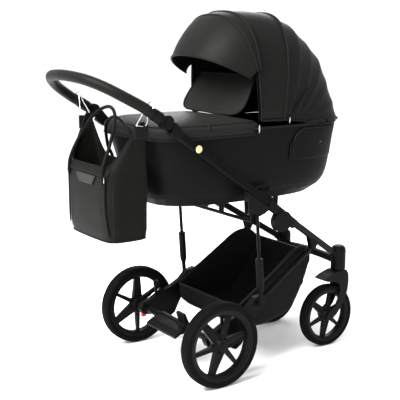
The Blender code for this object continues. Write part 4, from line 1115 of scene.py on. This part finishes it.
def wheels():
    for end_name, side in SIDES.items():
        turn = 90 if side > 0 else 10
        centre = place(0, side * 0.270, REAR_RADIUS)
        wheel(f"rear_wheel_{end_name}", f"rear_wheel_{end_name}", centre, REAR_RADIUS, REAR_WIDTH, side, turn,
              f"rear_tyre_{end_name}", f"rear_rim_{end_name}", 0.0063)
        turn = 90 if side > 0 else 20
        centre = place(FRONT_AXLE_X, side * 0.160, FRONT_RADIUS)
        wheel(f"front_wheel_{end_name}", f"front_wheel_{end_name}", centre, FRONT_RADIUS, FRONT_WIDTH, side, turn,
              f"front_tyre_{end_name}", f"front_rim_{end_name}", 0.0053)


# Frame trim.


def rail(along, across):
    slope = math.radians(35.3)
    c, s = math.cos(slope), math.sin(slope)
    return 0.218 + along * c + across * s, 0.5936 - along * s + across * c


def rail_trim():
    """Bezel round each fold button and screw heads on the mouldings."""
    for end_name, side in SIDES.items():
        x, z = rail(-0.354, 0)
        ring = []
        for k in range(40):
            angle = 2 * math.pi * k / 40
            dx, dz = 0.0137 * math.cos(angle), 0.0137 * math.sin(angle)
            ring.append(place(x + dx, side * (RAIL_Y + 0.0116), z + dz))
        shape = tube(ring, 0.0012, 8, closed=True, upward=(0, 1, 0))
        piece(f"button_bezel_{end_name}", shape, "tube_paint", "upper_frame")
        for k, (along, across) in enumerate(((-0.03, 0), (0.10, -0.003), (0.145, -0.003))):
            x, z = rail(along, across)
            body, y = ("upper_frame", RAIL_Y + 0.0102) if along < 0 else ("chassis", 0.2401 + 0.0126)
            if x > 0.250:
                y -= 0.2308 * (x - 0.250)
            centre = place(x, 0, z)
            profile = [(0.0001, y - 0.0010), (0.0034, y - 0.0010), (0.0036, y + 0.0002), (0.0030, y + 0.0010)]
            profile += [(0.0016, y + 0.0012), (0.0014, y + 0.0004), (0.0001, y + 0.0004)]
            shape = turned([(r, side * v) for r, v in profile], 20, centre)
            piece(f"rail_screw_{end_name}_{k}", shape, "tube_paint", body)


NODE_FINISHES = {
    "fold_housing": "moulding", "front_leg": "tube_paint", "swivel_housing": "moulding", "upper_tube": "tube_paint",
    "fold_button": "gold", "handle_sleeve": "moulding", "handle_knuckle": "moulding", "tilt_button": "moulding",
    "rear_tube": "tube_paint", "rear_bracket": "moulding", "wheel_release": "red", "strut_rod": "tube_paint",
    "strut_sleeve": "moulding", "caster_fork": "moulding", "release_lever": "moulding",
}
SINGLE_FINISHES = {
    "front_cross_tube": "moulding", "seat_cross_tube": "tube_paint", "rear_axle": "tube_paint",
    "brake_pedal": "moulding", "carrycot_base": "moulding", "hood_bow_front": "moulding", "hood_bow_mid": "moulding",
}


def finish_nodes():
    for stem, finish in NODE_FINISHES.items():
        for end_name in SIDES:
            finish_node(f"{stem}_{end_name}", finish)
    for name, finish in SINGLE_FINISHES.items():
        finish_node(name, finish)


def build():
    make_materials()
    add_camera()
    add_studio()
    finish_nodes()
    cot_shell()
    side_pockets()
    rim_snaps()
    quilted_mattress()
    foot_apron()
    wind_flap()
    hood_skin()
    visor()
    bag_shell()
    bag_details()
    bag_carriers()
    bag_hooks()
    basket()
    handle_cover()
    wheels()
    rail_trim()


build()
